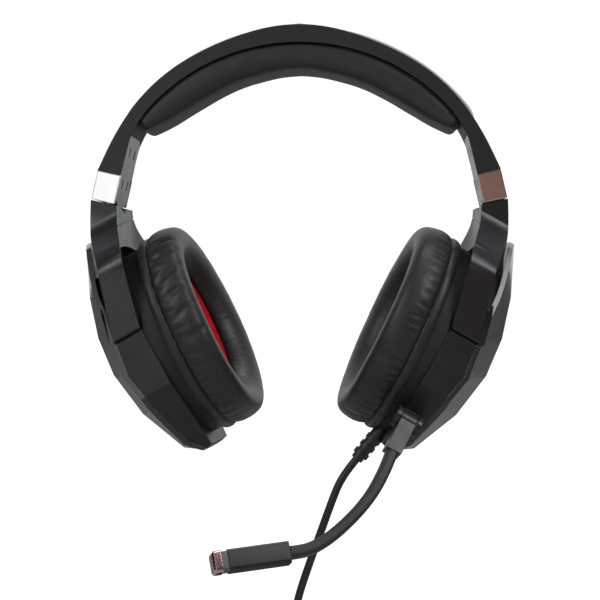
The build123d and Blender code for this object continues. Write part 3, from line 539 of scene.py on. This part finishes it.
INK = (0.008, 0.008, 0.009)
CHARCOAL = (0.015, 0.015, 0.017)
MATERIALS = {
    "band_plastic": moulded("satin_band_plastic", INK, (0.013, 0.013, 0.014), 0.44),
    "gloss_trim": moulded("gloss_top_trim", (0.030, 0.030, 0.032), (0.045, 0.045, 0.048), 0.16, bump=0.03,
                          handled=0.10, dust=0.25, coat=0.6),
    "spring_steel": metal("blue_spring_steel", (0.30, 0.30, 0.33), (0.38, 0.38, 0.40), 0.32, brushed=(0.05, 1, 0.05)),
    "screw_steel": metal("black_oxide_screws", (0.10, 0.10, 0.11), (0.16, 0.16, 0.17), 0.35),
    "cover_plastic": moulded("grey_cover_plastic", (0.11, 0.11, 0.12), (0.15, 0.15, 0.16), 0.30, wear=0.45,
                             rub=(0.30, 0.30, 0.32)),
    "chrome": metal("plated_collar", (0.78, 0.77, 0.77), (0.70, 0.69, 0.69), 0.06, edge=0.0008, bump=0.015),
    "yoke_plastic": moulded("satin_yoke_plastic", (0.009, 0.009, 0.011), CHARCOAL, 0.34, wear=0.35),
    "slider_steel": metal("slider_steel", (0.52, 0.52, 0.54), (0.60, 0.60, 0.62), 0.24, brushed=(1, 1, 0.04)),
    "pin_steel": metal("pin_steel", (0.50, 0.50, 0.52), (0.58, 0.58, 0.60), 0.22),
    "cup_plastic": moulded("satin_cup_plastic", (0.007, 0.007, 0.008), (0.011, 0.011, 0.012), 0.42, wear=0.35),
    "gloss_plate": moulded("gloss_cup_plate", (0.016, 0.016, 0.018), (0.026, 0.026, 0.028), 0.20, bump=0.04,
                           handled=0.14, coat=0.35, wear=0.45, rub=RUBBED_GREY),
    "baffle_plastic": moulded("matt_baffle_plastic", (0.006, 0.006, 0.006), (0.010, 0.010, 0.010), 0.62),
    "grille_plastic": moulded("grille_plastic", (0.012, 0.012, 0.012), (0.020, 0.020, 0.020), 0.50),
    "magnet_metal": metal("nickel_magnet", (0.55, 0.55, 0.56), (0.62, 0.62, 0.63), 0.20),
    "diaphragm_film": moulded("diaphragm_film", (0.10, 0.10, 0.11), (0.14, 0.14, 0.15), 0.25, coat=0.4),
    "mic_plastic": moulded("satin_mic_plastic", (0.008, 0.008, 0.009), (0.014, 0.014, 0.016), 0.36, wear=0.4),
    "boom_rubber": moulded("boom_rubber", (0.018, 0.018, 0.019), (0.028, 0.028, 0.030), 0.50, grain=0.8, bump=0.2),
    "mic_ring_plastic": moulded("grey_ring_plastic", (0.10, 0.10, 0.105), (0.15, 0.15, 0.155), 0.30),
    # plain chrome with a painted warm reflection: its reddish-brown tint is reflected light put into the colour
    "red_chrome": metal("chrome_painted_warm_reflection", (0.60, 0.33, 0.31), (0.66, 0.58, 0.57), 0.14),
    "cable_rubber": moulded("cable_jacket", (0.010, 0.010, 0.011), (0.018, 0.018, 0.019), 0.42, grain=0.7,
                            bump=0.15, edge=0.0002, wear=0.1),
    "tie_strap": moulded("hook_and_loop_tie", (0.016, 0.016, 0.017), (0.035, 0.035, 0.036), 0.85, grain=2.2, bump=0.9),
    "plug_rubber": moulded("plug_rubber", INK, CHARCOAL, 0.45, bump=0.2),
    "jack_metal": jack_plating(),
    "leatherette": leatherette("pad_leatherette", (0.007, 0.007, 0.008), (0.011, 0.011, 0.012), 0.42),
    "red_cloth": red_speaker_cloth(),
}
CUSHION_LEATHER = leatherette("cushion_leatherette", (0.006, 0.006, 0.007), (0.010, 0.009, 0.010), 0.42, size=0.9)


def dress_the_frame():
    """Every carried-over solid takes the material of its slot."""
    for part in frame["record"]["subparts"]:
        piece = nodes[part["node"]]
        piece.data.materials.clear()
        piece.data.materials.append(MATERIALS[part["material_slot"]])
    cable.data.materials.append(MATERIALS["cable_rubber"])


dress_the_frame()


SEAM_CLOSE = 0.000003        # vertices closer than this are one, in metres
CORNER_ANGLE = 24.0          # faces that meet at more than this many degrees keep a sharp corner between them


def smooth_the_frame():
    """Curved faces shade smoothly and real corners stay sharp; the vertices stay where they are."""
    for piece in nodes.values():
        bpy.context.view_layer.objects.active = piece
        bpy.ops.mesh.customdata_custom_splitnormals_clear()
        piece.data.polygons.foreach_set("use_smooth", [True] * len(piece.data.polygons))
        close = piece.modifiers.new("close_seams", "WELD")
        close.merge_threshold = SEAM_CLOSE
        split = piece.modifiers.new("keep_corners", "EDGE_SPLIT")
        split.split_angle = math.radians(CORNER_ANGLE)


smooth_the_frame()

# ---- where things are ----
MIRROR = Matrix.Diagonal((-1.0, 1.0, 1.0, 1.0))


def turned(degrees, axis):
    return Matrix.Rotation(math.radians(degrees), 4, axis)


def moved(*by):
    return Matrix.Translation(by)


TOE_X = 86.0                 # the arm and cup are turned a little about an upright line here
NECK_MIDDLE = -1.5           # height of the cushion's middle in the cup's frame
TOE = moved(TOE_X, 0, 0) @ turned(3.5, "Z") @ moved(-TOE_X, 0, 0)
CUP = TOE @ moved(57.2, 0, -124.7) @ turned(29.5, "Y")
CUSHION_IN_CUP = moved(-11.0, 0, NECK_MIDDLE) @ turned(-4.5, "Y") @ turned(4.0, "Z")
CUSHION = CUP @ CUSHION_IN_CUP


def square_to(line, k):
    """The direction square to a line in X and Z, at its point k."""
    before, after = line[max(0, k - 1)], line[min(len(line) - 1, k + 1)]
    along = Vector((after[0] - before[0], 0.0, after[1] - before[1])).normalized()
    return Vector((-along.z, 0.0, along.x))


def along_curve(four, steps):
    """Points of a Catmull-Rom curve from the second of four points up to the third."""
    return [tuple(0.5 * (2 * q + (r - p) * t + (2 * p - 5 * q + 4 * r - s) * t * t + (3 * q - p - 3 * r + s) * t ** 3)
                  for p, q, r, s in zip(*four)) for t in (k / steps for k in range(steps))]


def smooth_line(points, steps):
    """A smooth line through the points, with this many steps between each pair."""
    padded = [points[0], *points, points[-1]]
    line = [point for four in zip(padded, padded[1:], padded[2:], padded[3:]) for point in along_curve(four, steps)]
    return line + [tuple(points[-1])]


def closed_line(points, steps):
    """The same, round a closed outline."""
    count = len(points)
    return [point for k in range(count)
            for point in along_curve([points[(k + j - 1) % count] for j in range(4)], steps)]


def ring_mesh(name, rows, matrix, material, closed=True):
    """A skin over rows of points, each a closed section; the rows close on each other, or else get end caps."""
    mesh = bpy.data.meshes.new(name)
    build = bmesh.new()
    grid = [[build.verts.new(point) for point in row] for row in rows]
    count, wide = len(grid), len(grid[0])
    for i in range(count if closed else count - 1):
        after = grid[(i + 1) % count]
        for j in range(wide):
            build.faces.new((grid[i][j], grid[i][(j + 1) % wide], after[(j + 1) % wide], after[j]))
    if not closed:
        build.faces.new(grid[0])
        build.faces.new(grid[-1])
    build.transform(Matrix.Scale(MM, 4) @ matrix)
    bmesh.ops.recalc_face_normals(build, faces=build.faces)
    build.to_mesh(mesh)
    build.free()
    mesh.materials.append(material)
    mesh.polygons.foreach_set("use_smooth", [True] * len(mesh.polygons))
    piece = bpy.data.objects.new(name, mesh)
    bpy.context.scene.collection.objects.link(piece)
    return piece


# ---- ear cushions ----
CUSHION_OUTER = (41.5, 49.5)
CUSHION_HOLE = (23.5, 31.5)
CUSHION_SECTION = [  # share of the way from hole to outside, and depth away from the head
    (0.94, 4.7), (0.985, 3.6), (1.02, 0.0), (1.0, -4.0), (0.93, -8.0), (0.80, -10.2), (0.62, -10.8),
    (0.42, -10.2), (0.22, -8.2), (0.09, -5.6), (0.015, -3.0), (0.0, -1.0), (0.06, -0.1), (0.35, 0.0), (0.7, 0.0),
    (0.86, 0.0), (0.908, 0.8), (0.915, 4.2)]
CUSHION_SEAM = 4.8           # depth of the seam between the pillow and the skirt behind it
CUSHION_STEPS = 3
CUSHION_ROUND = 420
CUSHION_CORE_DEPTH = -4.0    # depth that the swelling spreads out from
SWELL = 0.35                 # how far the crown swells and sinks, and how far it is crinkled
CRINKLE = 0.10
PLEAT_REACH = (8.5, 6.0)     # how far from the seam a pleat runs, and how much that varies
PLEAT_STRENGTH = (0.85, 0.7)     # and the same for its depth
PLEAT_SHARPNESS = 0.6
PLEAT_PUSH = 0.35            # how much of a pleat's depth goes back towards the cup
WALL_FROM = 0.55             # share beyond which the section is side wall, which is gathered
WALL_BACK = 0.93             # and the same behind the cushion's seat
FOLD_ARM = 45.0              # radius that turns an angle round the cushion into a length
FOLD_MIDDLE = 7.0            # distances from the seam
FOLD_DEEPEST = 8.5
FOLD_REACH = 5.5


def pleat_depth(seed, count, angle, depth):
    """How far the gathered side wall falls in at this place round the cushion and this depth."""
    wander = noise.noise(Vector((math.cos(angle) * 2.2, math.sin(angle) * 2.2, seed)))
    lean = noise.noise(Vector((math.cos(angle) * 5.0, math.sin(angle) * 5.0, seed + 9.0)))
    phase = angle * count / (2 * math.pi) + 1.3 * wander + lean * depth * 0.05
    ridge = abs(math.sin(math.pi * phase)) ** PLEAT_SHARPNESS
    number = math.floor(phase)
    reach = PLEAT_REACH[0] + PLEAT_REACH[1] * noise.noise(Vector((number * 3.7, seed, 1.0)))
    strength = PLEAT_STRENGTH[0] + PLEAT_STRENGTH[1] * noise.noise(Vector((number * 1.9, seed, 5.0)))
    fade = max(0.0, 1.0 - (depth / reach) ** 2)
    return (1.0 - ridge) * strength * fade


def ear_cushion(side, matrix, seed, count, folds):
    """The pillow: a crowned ring whose side wall is gathered into pleats, with larger folds where it was pulled."""
    section = closed_line(CUSHION_SECTION, CUSHION_STEPS)
    rows = []
    for k in range(CUSHION_ROUND):
        angle = 2 * math.pi * k / CUSHION_ROUND
        way = Vector((0.0, math.cos(angle), math.sin(angle)))
        hole = Vector((0.0, CUSHION_HOLE[0] * way.y, CUSHION_HOLE[1] * way.z))
        rim = Vector((0.0, CUSHION_OUTER[0] * way.y, CUSHION_OUTER[1] * way.z))
        row = []
        for share, depth in section:
            outward = hole.lerp(rim, share)
            point = Vector((depth, outward.y, outward.z))
            from_seam = CUSHION_SEAM - depth
            if share > WALL_FROM and (depth < 0.0 or share > WALL_BACK):
                drop = pleat_depth(seed, count, angle, from_seam)
                for middle, width, deep, slant in folds:
                    off = (angle - math.radians(middle)) * FOLD_ARM + slant * (from_seam - FOLD_MIDDLE)
                    drop += (deep * math.exp(-(off / width) ** 2)
                             * math.exp(-((from_seam - FOLD_DEEPEST) / FOLD_REACH) ** 2))
                point -= way * drop
                point.x += PLEAT_PUSH * drop
            swell = SWELL * noise.noise(Vector((angle * 1.6 + seed, share * 2.0, 0.5)))
            crinkle = CRINKLE * noise.noise(Vector((angle * 16.0, share * 7.0 + seed, depth * 0.35)))
            away = Vector((depth - CUSHION_CORE_DEPTH, 0, 0)) * 0.1 + way * (share - 0.5)
            point += away.normalized() * (swell + crinkle)
            row.append(point)
        rows.append(row)
    piece = ring_mesh(side + "_ear_cushion", rows, matrix @ CUSHION, CUSHION_LEATHER)
    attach(piece, side + "_cup")
    return piece


NECK = (38.0, 47.0)
SKIRT_SHIFT = 4.6            # the skirt starts this far back, behind the pillow's seam
SKIRT_SECTION = [(0.0, 0.15), (1.0, 0.3), (1.9, 1.3), (2.1, 2.8), (1.7, 4.4), (1.0, 5.3), (0.1, 5.4), (0.02, 3.8),
                 (0.02, 2.0)]    # how far out from the cup's rim, and how far back
SKIRT_ROUND = 300
PUCKER = 0.22


def cushion_skirt(side, matrix, seed):
    """The band of leatherette that is pulled over the cup's rim, with a soft rolled edge."""
    across = CUSHION_IN_CUP.to_3x3() @ Vector((1, 0, 0))
    start = CUSHION_IN_CUP.translation
    profile = closed_line(SKIRT_SECTION, 3)
    rows = []
    for k in range(SKIRT_ROUND):
        angle = 2 * math.pi * k / SKIRT_ROUND
        row = []
        for out, depth in profile:
            gather = noise.noise(Vector((math.cos(angle) * 14.0, math.sin(angle) * 14.0, seed + depth * 0.12)))
            reach = out + PUCKER * max(0.0, out - 0.8) * gather
            v = (NECK[0] + reach) * math.cos(angle)
            w = NECK_MIDDLE + (NECK[1] + reach) * math.sin(angle)
            u = start.x + (SKIRT_SHIFT + depth - across.y * v - across.z * (w - start.z)) / across.x
            row.append(Vector((u, v, w)))
        rows.append(row)
    piece = ring_mesh(side + "_cushion_skirt", rows, matrix @ CUP, CUSHION_LEATHER)
    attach(piece, side + "_cup")
    return piece


CLOTH_MARGIN = 0.25
CLOTH_DEPTH = -0.85
CLOTH_DRAW = 0.5             # how far its rim is drawn back to the seam
CLOTH_WAVE = 0.05
CLOTH_RINGS = 14
CLOTH_ROUND = 96
CLOTH_UV = 64.0              # millimetres for the whole weave map


def speaker_cloth(side, matrix):
    """The red cloth stretched over the speaker, drawn in slightly where it meets the cushion."""
    half = (CUSHION_HOLE[0] - CLOTH_MARGIN, CUSHION_HOLE[1] - CLOTH_MARGIN)
    mesh = bpy.data.meshes.new(side + "_speaker_cloth")
    build = bmesh.new()
    uv = build.loops.layers.uv.new("weave")
    centre = build.verts.new((CLOTH_DEPTH, 0, 0))
    grid = []
    for r in range(1, CLOTH_RINGS + 1):
        share = r / CLOTH_RINGS
        lift = CLOTH_DEPTH + CLOTH_DRAW * share ** 6 + CLOTH_WAVE * math.sin(share * 9.0)
        angles = [2 * math.pi * k / CLOTH_ROUND for k in range(CLOTH_ROUND)]
        grid.append([build.verts.new((lift, half[0] * share * math.cos(angle), half[1] * share * math.sin(angle)))
                     for angle in angles])
    for k in range(CLOTH_ROUND):
        after = (k + 1) % CLOTH_ROUND
        build.faces.new((centre, grid[0][k], grid[0][after]))
    for inner, outer in zip(grid, grid[1:]):
        for k in range(CLOTH_ROUND):
            after = (k + 1) % CLOTH_ROUND
            build.faces.new((inner[k], outer[k], outer[after], inner[after]))
    for face in build.faces:
        for loop in face.loops:
            loop[uv].uv = (loop.vert.co.y / CLOTH_UV + 0.5, loop.vert.co.z / CLOTH_UV + 0.5)
    placed = Matrix.Scale(MM, 4) @ matrix @ CUSHION
    build.transform(placed)
    inward = (placed.to_3x3() @ Vector((-1, 0, 0)))
    bmesh.ops.recalc_face_normals(build, faces=build.faces)
    if sum((face.normal for face in build.faces), Vector()).dot(inward) < 0:
        bmesh.ops.reverse_faces(build, faces=build.faces)
    build.to_mesh(mesh)
    build.free()
    mesh.materials.append(MATERIALS["red_cloth"])
    mesh.polygons.foreach_set("use_smooth", [True] * len(mesh.polygons))
    piece = bpy.data.objects.new(side + "_speaker_cloth", mesh)
    bpy.context.scene.collection.objects.link(piece)
    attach(piece, side + "_cup")
    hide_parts(side + "_cloth")
    return piece


# each fold: degrees round the cushion, width, depth and slant
LEFT_FOLDS = [(200, 2.2, 0.5, 0.3), (250, 2.6, 0.6, -0.3)]
RIGHT_FOLDS = [(148, 1.6, 1.3, 0.5), (134, 1.4, 1.1, 0.45), (160, 1.8, 1.2, 0.35), (121, 1.5, 1.0, 0.2),
               (172, 1.5, 0.9, 0.3), (186, 1.7, 0.7, 0.2)]

SIDES = (("left", Matrix.Identity(4)), ("right", MIRROR))
CUSHION_LOOKS = ((3.0, 64, LEFT_FOLDS), (11.0, 54, RIGHT_FOLDS))     # seed, number of pleats and larger folds

for (side, matrix), (seed, count, folds) in zip(SIDES, CUSHION_LOOKS):
    pillow = ear_cushion(side, matrix, seed, count, folds)
    cushion_skirt(side, matrix, seed)
    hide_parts(side + "_cushion")
    speaker_cloth(side, matrix)


# ---- headband pad ----
PAD_PAIRS = [  # underside and top of the pad, from its middle out to its blunt end, in X and Z
    ((0, 0), (0, 12.6)), ((8.6, -0.7), (10.5, 11.9)), ((17.2, -2.6), (20.0, 10.5)), ((24.2, -4.5), (28.4, 8.4)),
    ((30.7, -6.9), (36.4, 5.4)), ((37.6, -10.2), (43.8, 2.2)), ((44, -13.7), (50.6, -1.7)),
    ((50.2, -17.4), (57.4, -6.2)), ((56, -20.9), (63.3, -11.1)), ((60.6, -23.6), (68.2, -15.6)),
    ((65.4, -26.0), (72.2, -20.2)), ((69.4, -27.8), (74.6, -23.0)), ((72.5, -28.9), (76.1, -25.4))]
PAD_HALF = 16.5
PAD_SECTION = [  # share of the half depth, and share of the way from top to underside
    (0.90, 0.0), (0.985, 0.06), (1.02, 0.30), (1.015, 0.55), (0.95, 0.80), (0.80, 0.94), (0.50, 0.99), (0.0, 1.0),
    (-0.50, 0.99), (-0.80, 0.94), (-0.95, 0.80), (-1.015, 0.55), (-1.02, 0.30), (-0.985, 0.06), (-0.90, 0.0),
    (-0.45, 0.0), (0.0, 0.0), (0.45, 0.0)]


PAD_END_WIDTH = (0.62, 0.80, 0.91, 0.965, 0.99)      # shares of the width, from each end inward
PAD_PINCH = 0.35             # how much thinner the very end is
PAD_RIPPLE = 0.16
PAD_SIDE = 0.9               # share of the half depth beyond which a ripple also moves the side


def headband_cushion():
    """The crescent under the band: a crowned underside, rounded lower edges and closed, rounded ends."""
    half = smooth_line([a + b for a, b in PAD_PAIRS], 5)
    stations = [(-x, z, -p, q) for x, z, p, q in reversed(half[1:])] + half
    section = closed_line(PAD_SECTION, 3)
    rows = []
    total = len(stations) - 1
    for k, (x, z, p, q) in enumerate(stations):
        to_end = min(k, total - k)
        narrow = PAD_END_WIDTH[to_end] if to_end < len(PAD_END_WIDTH) else 1.0
        row = []
        for across, down in section:
            ripple = PAD_RIPPLE * noise.noise(Vector((x * 0.16, across * 2.5, down * 3.0)))
            pinch = PAD_PINCH if to_end < 2 else 0.0
            share = 0.5 + (down - 0.5) * (1.0 - pinch * (2 - to_end) / 2)
            fx, fz = p + (x - p) * share, q + (z - q) * share
            y = across * PAD_HALF * narrow
            row.append(Vector((fx, y + (ripple if abs(across) > PAD_SIDE else 0.0), fz + ripple * down)))
        rows.append(row)
    piece = ring_mesh("headband_cushion", rows, Matrix.Identity(4), MATERIALS["leatherette"], closed=False)
    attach(piece, "band")
    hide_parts("headband_pad")


headband_cushion()


# ---- hard trim ----
BAND_OUTER = [(0, 21), (30, 15.2), (56.5, 2.4), (76.5, -15.5), (89.2, -35.5), (94.8, -47.3)]
TRIM_REACH = 82.0
TRIM_HALF = 13.0
TRIM_CROWN = 3.0
TRIM_SUNK = 2.6              # scale of the part of the section that is sunk into the band
TRIM_END_HEIGHT = (0.55, 0.82, 0.95)     # shares of the crown, from each end inward
TRIM_END_WIDTH = (0.90, 0.96, 0.99)
TRIM_SECTION = [(-1.0, 0.0), (-0.97, 0.10), (-0.86, 0.34), (-0.68, 0.60), (-0.45, 0.83), (-0.2, 0.96), (0.0, 1.0),
                (0.2, 0.96), (0.45, 0.83), (0.68, 0.60), (0.86, 0.34), (0.97, 0.10), (1.0, 0.0),
                (0.98, -0.4), (0.5, -0.45), (0.0, -0.45), (-0.5, -0.45), (-0.98, -0.4)]


def top_trim():
    """The glossy strip on the band: crowned across, following the band, with a small step at each end."""
    half = [point for point in smooth_line(BAND_OUTER, 14) if point[0] < TRIM_REACH]
    line = [(-x, z) for x, z in reversed(half[1:])] + half
    rows = []
    total = len(line) - 1
    for k, (x, z) in enumerate(line):
        out = square_to(line, k)
        end = min(k, total - k)
        height = TRIM_CROWN * TRIM_END_HEIGHT[end] if end < len(TRIM_END_HEIGHT) else TRIM_CROWN
        narrow = TRIM_END_WIDTH[end] if end < len(TRIM_END_WIDTH) else 1.0
        rows.append([Vector((x, across * TRIM_HALF * narrow, z)) + out * (lift * (height if lift > 0 else TRIM_SUNK))
                     for across, lift in TRIM_SECTION])
    piece = ring_mesh("top_trim", rows, Matrix.Identity(4), MATERIALS["gloss_trim"], closed=False)
    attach(piece, "band")
    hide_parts("headband_top_plate")


top_trim()

# ---- yokes ----
YOKE_OUTER = [(97.4, -58), (97.3, -79), (92.4, -100.7), (85.6, -128.8), (82.0, -142)]
YOKE_INNER = [(85.3, -58), (84.4, -75), (82.0, -91.1), (73.5, -121.8), (68.0, -141)]
YOKE_BOW = 5.0
YOKE_BOW_FROM = 13.0         # distance from the middle at which the bow begins
YOKE_SLAB_HALF = 42.0
YOKE_SLAB_ROWS = 42
YOKE_ROUNDING = 0.55
LEG_END = 8.2
LEG_CORNER = 1.2
LEG_CORNER_CUT = 0.35        # share of the corner that its middle point is set back by
FORK_TOP = 49.5
FLARE = (66.0, 38.0)         # heights between which the arm widens into its two legs
ARM_HALF = 17.5
LEG_FRONT = 40.0
LEG_INSIDE = 35.5
ARCH_FOOT = 34.0
SLIDE = moved(92.25, 0, -61.9) @ turned(-13.0, "Y")
COLLAR_THICK = 11.3
COVER_BACK = 2.6 - COLLAR_THICK / 2      # where the band's inner cover ends, in the slide's frame
ARM_GAP = 0.55                           # between the collar's mouth and the top of the arm
FORK_OUTLINE_STEP = 1.5
ARM_OUTLINE_STEP = 12.0
ARCH_STEPS = 16
ARCH_SQUARENESS = 0.8
FORK_DEEP = (-45.0, 60.0)                # the fork's outline cuts through from here to here in the cup's frame
COVER_TIP = (-3.3, 5.0 / 16.5)           # the V that the band's inner cover needs: its point, and its rise to each side
YOKE_SEAM = (82.6, -71.2, 8.5)           # X and height of the seam across the inner face, and its slant in degrees
SEAM_GROOVE = (4.6, 60, 0.4)


def yoke_slab():
    """The smooth curved slab, bowed inward at the front and back, that the yoke is cut from."""
    outer, inner = smooth_line(YOKE_OUTER, 12), smooth_line(YOKE_INNER, 12)
    rows = []
    for k in range(YOKE_SLAB_ROWS + 1):
        y = -YOKE_SLAB_HALF + 2 * YOKE_SLAB_HALF * k / YOKE_SLAB_ROWS
        bow = YOKE_BOW * ease((abs(y) - YOKE_BOW_FROM) / (YOKE_SLAB_HALF - YOKE_BOW_FROM))
        rows.append([Vector((x - bow, y, z)) for x, z in outer + inner[::-1]])
    return rows


def fork_outline():
    """Arm, arch and legs seen from the side of the head, as v and w round one half and back down the other."""
    outer, inner = [], []
    w = 100.0
    while w > FLARE[1]:
        share = ease((FLARE[0] - w) / (FLARE[0] - FLARE[1]))
        outer.append((ARM_HALF + (LEG_FRONT - ARM_HALF) * share, w))
        w -= FORK_OUTLINE_STEP if w < FLARE[0] + 2 else ARM_OUTLINE_STEP
    set_back = LEG_CORNER_CUT * LEG_CORNER
    outer += [(LEG_FRONT, FLARE[1]), (LEG_FRONT, LEG_END + LEG_CORNER), (LEG_FRONT - set_back, LEG_END + set_back),
              (LEG_FRONT - LEG_CORNER, LEG_END)]
    inner += [(LEG_INSIDE + LEG_CORNER, LEG_END), (LEG_INSIDE + set_back, LEG_END + set_back),
              (LEG_INSIDE, LEG_END + LEG_CORNER)]
    for k in range(ARCH_STEPS):
        angle = math.pi / 2 * k / ARCH_STEPS
        inner.append((LEG_INSIDE * math.cos(angle) ** ARCH_SQUARENESS,
                      ARCH_FOOT + (FORK_TOP - ARCH_FOOT) * math.sin(angle)))
    half = outer + inner
    return half + [(0.0, FORK_TOP)] + [(-v, w) for v, w in reversed(half)]


def cut(piece, cutter, operation="DIFFERENCE"):
    """Apply one boolean and throw the cutter away."""
    change = piece.modifiers.new("cut", "BOOLEAN")
    change.operation = operation
    change.object = cutter
    change.solver = "EXACT"
    bpy.context.view_layer.objects.active = piece
    bpy.ops.object.modifier_apply(modifier=change.name)
    bpy.data.objects.remove(cutter)


def cutter_box(size, at, matrix):
    """A box for cutting, its size and place given in the frame of the matrix."""
    bpy.ops.mesh.primitive_cube_add(size=1.0)
    box = bpy.context.object
    box.data.transform(Matrix.Scale(MM, 4) @ matrix @ moved(*at) @ Matrix.Diagonal((*size, 1.0)))
    if matrix.determinant() < 0:
        box.data.flip_normals()
    return box


BEVEL_ANGLE = 38.0


def finish_hard_piece(piece, width):
    """Round the corners and shade by angle."""
    bevel = piece.modifiers.new("round_corners", "BEVEL")
    bevel.width = width * MM
    bevel.segments = 3
    bevel.limit_method = "ANGLE"
    bevel.angle_limit = math.radians(BEVEL_ANGLE)
    bevel.harden_normals = False
    bpy.context.view_layer.objects.active = piece
    bpy.ops.object.modifier_apply(modifier=bevel.name)
    bpy.ops.object.select_all(action="DESELECT")
    piece.select_set(True)
    bpy.ops.object.shade_smooth_by_angle(angle=math.radians(CORNER_ANGLE))
    piece.select_set(False)


def yoke(side, matrix):
    """Arm and fork in one: the slab inside the fork's outline, cut for the band's end, its cover and the seam."""
    piece = ring_mesh(side + "_fork_yoke", yoke_slab(), matrix @ TOE, MATERIALS["yoke_plastic"], closed=False)
    outline = [[Vector((u, v, w)) for v, w in fork_outline()] for u in FORK_DEEP]
    cut(piece, ring_mesh("outline", outline, matrix @ CUP, MATERIALS["yoke_plastic"], closed=False), "INTERSECT")
    above = (90, 120, 60)
    cut(piece, cutter_box(above, (0, 0, above[2] / 2 - ARM_GAP), matrix @ SLIDE))
    low, rise = COVER_TIP
    wedge = (30, 60, 20)
    inside = COVER_BACK - wedge[0] / 2
    for turn in (1, -1):
        slope = SLIDE @ moved(inside, 0, low) @ turned(turn * math.degrees(math.atan(rise)), "X")
        cut(piece, cutter_box(wedge, (0, turn * wedge[1] / 2, wedge[2] / 2), matrix @ slope))
    x, height, slant = YOKE_SEAM
    cut(piece, cutter_box(SEAM_GROOVE, (0, 0, 0), matrix @ TOE @ moved(x, 0, height) @ turned(slant, "X")))
    finish_hard_piece(piece, YOKE_ROUNDING)
    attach(piece, side + "_arm")
    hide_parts(side + "_yoke", side + "_yoke_inner_cover")


for side, matrix in SIDES:
    yoke(side, matrix)


# ---- microphone boom ----
HUB = (11.0, -45.0, -38.0)   # hinge in the cup's frame
MIC_AT_REST = 25.0           # degrees forward of straight down the cup
MIC = CUP @ moved(*HUB) @ turned(-MIC_AT_REST, "X")
BOOM_LINE = [(0.0, -15.5), (0.2, -19.0), (0.7, -27.0), (0.5, -37.0), (-1.1, -47.0), (-4.1, -57.5), (-8.2, -67.5),
             (-13.4, -75.4), (-20.0, -81.0)]
BOOM_HALF = (2.7, 4.0)
BOOM_ROUND = 32
BOOM_SQUARENESS = 0.5


def mic_boom():
    """The flat bendable boom, its corners rounded, on one smooth bend."""
    line = smooth_line(BOOM_LINE, 8)
    section = []
    for k in range(BOOM_ROUND):
        angle = 2 * math.pi * (k + 0.5) / BOOM_ROUND
        section.append([math.copysign(abs(part) ** BOOM_SQUARENESS, part)
                        for part in (math.cos(angle), math.sin(angle))])
    rows = []
    for k, (x, z) in enumerate(line):
        side = square_to(line, k)
        rows.append([Vector((x, 0, z)) + side * BOOM_HALF[0] * a + Vector((0, 1, 0)) * BOOM_HALF[1] * b
                     for a, b in section])
    piece = ring_mesh("flexible_boom", rows, MIC, MATERIALS["boom_rubber"], closed=False)
    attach(piece, "mic")
    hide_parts("mic_boom")


mic_boom()
light_the_studio()
lay_the_floor()
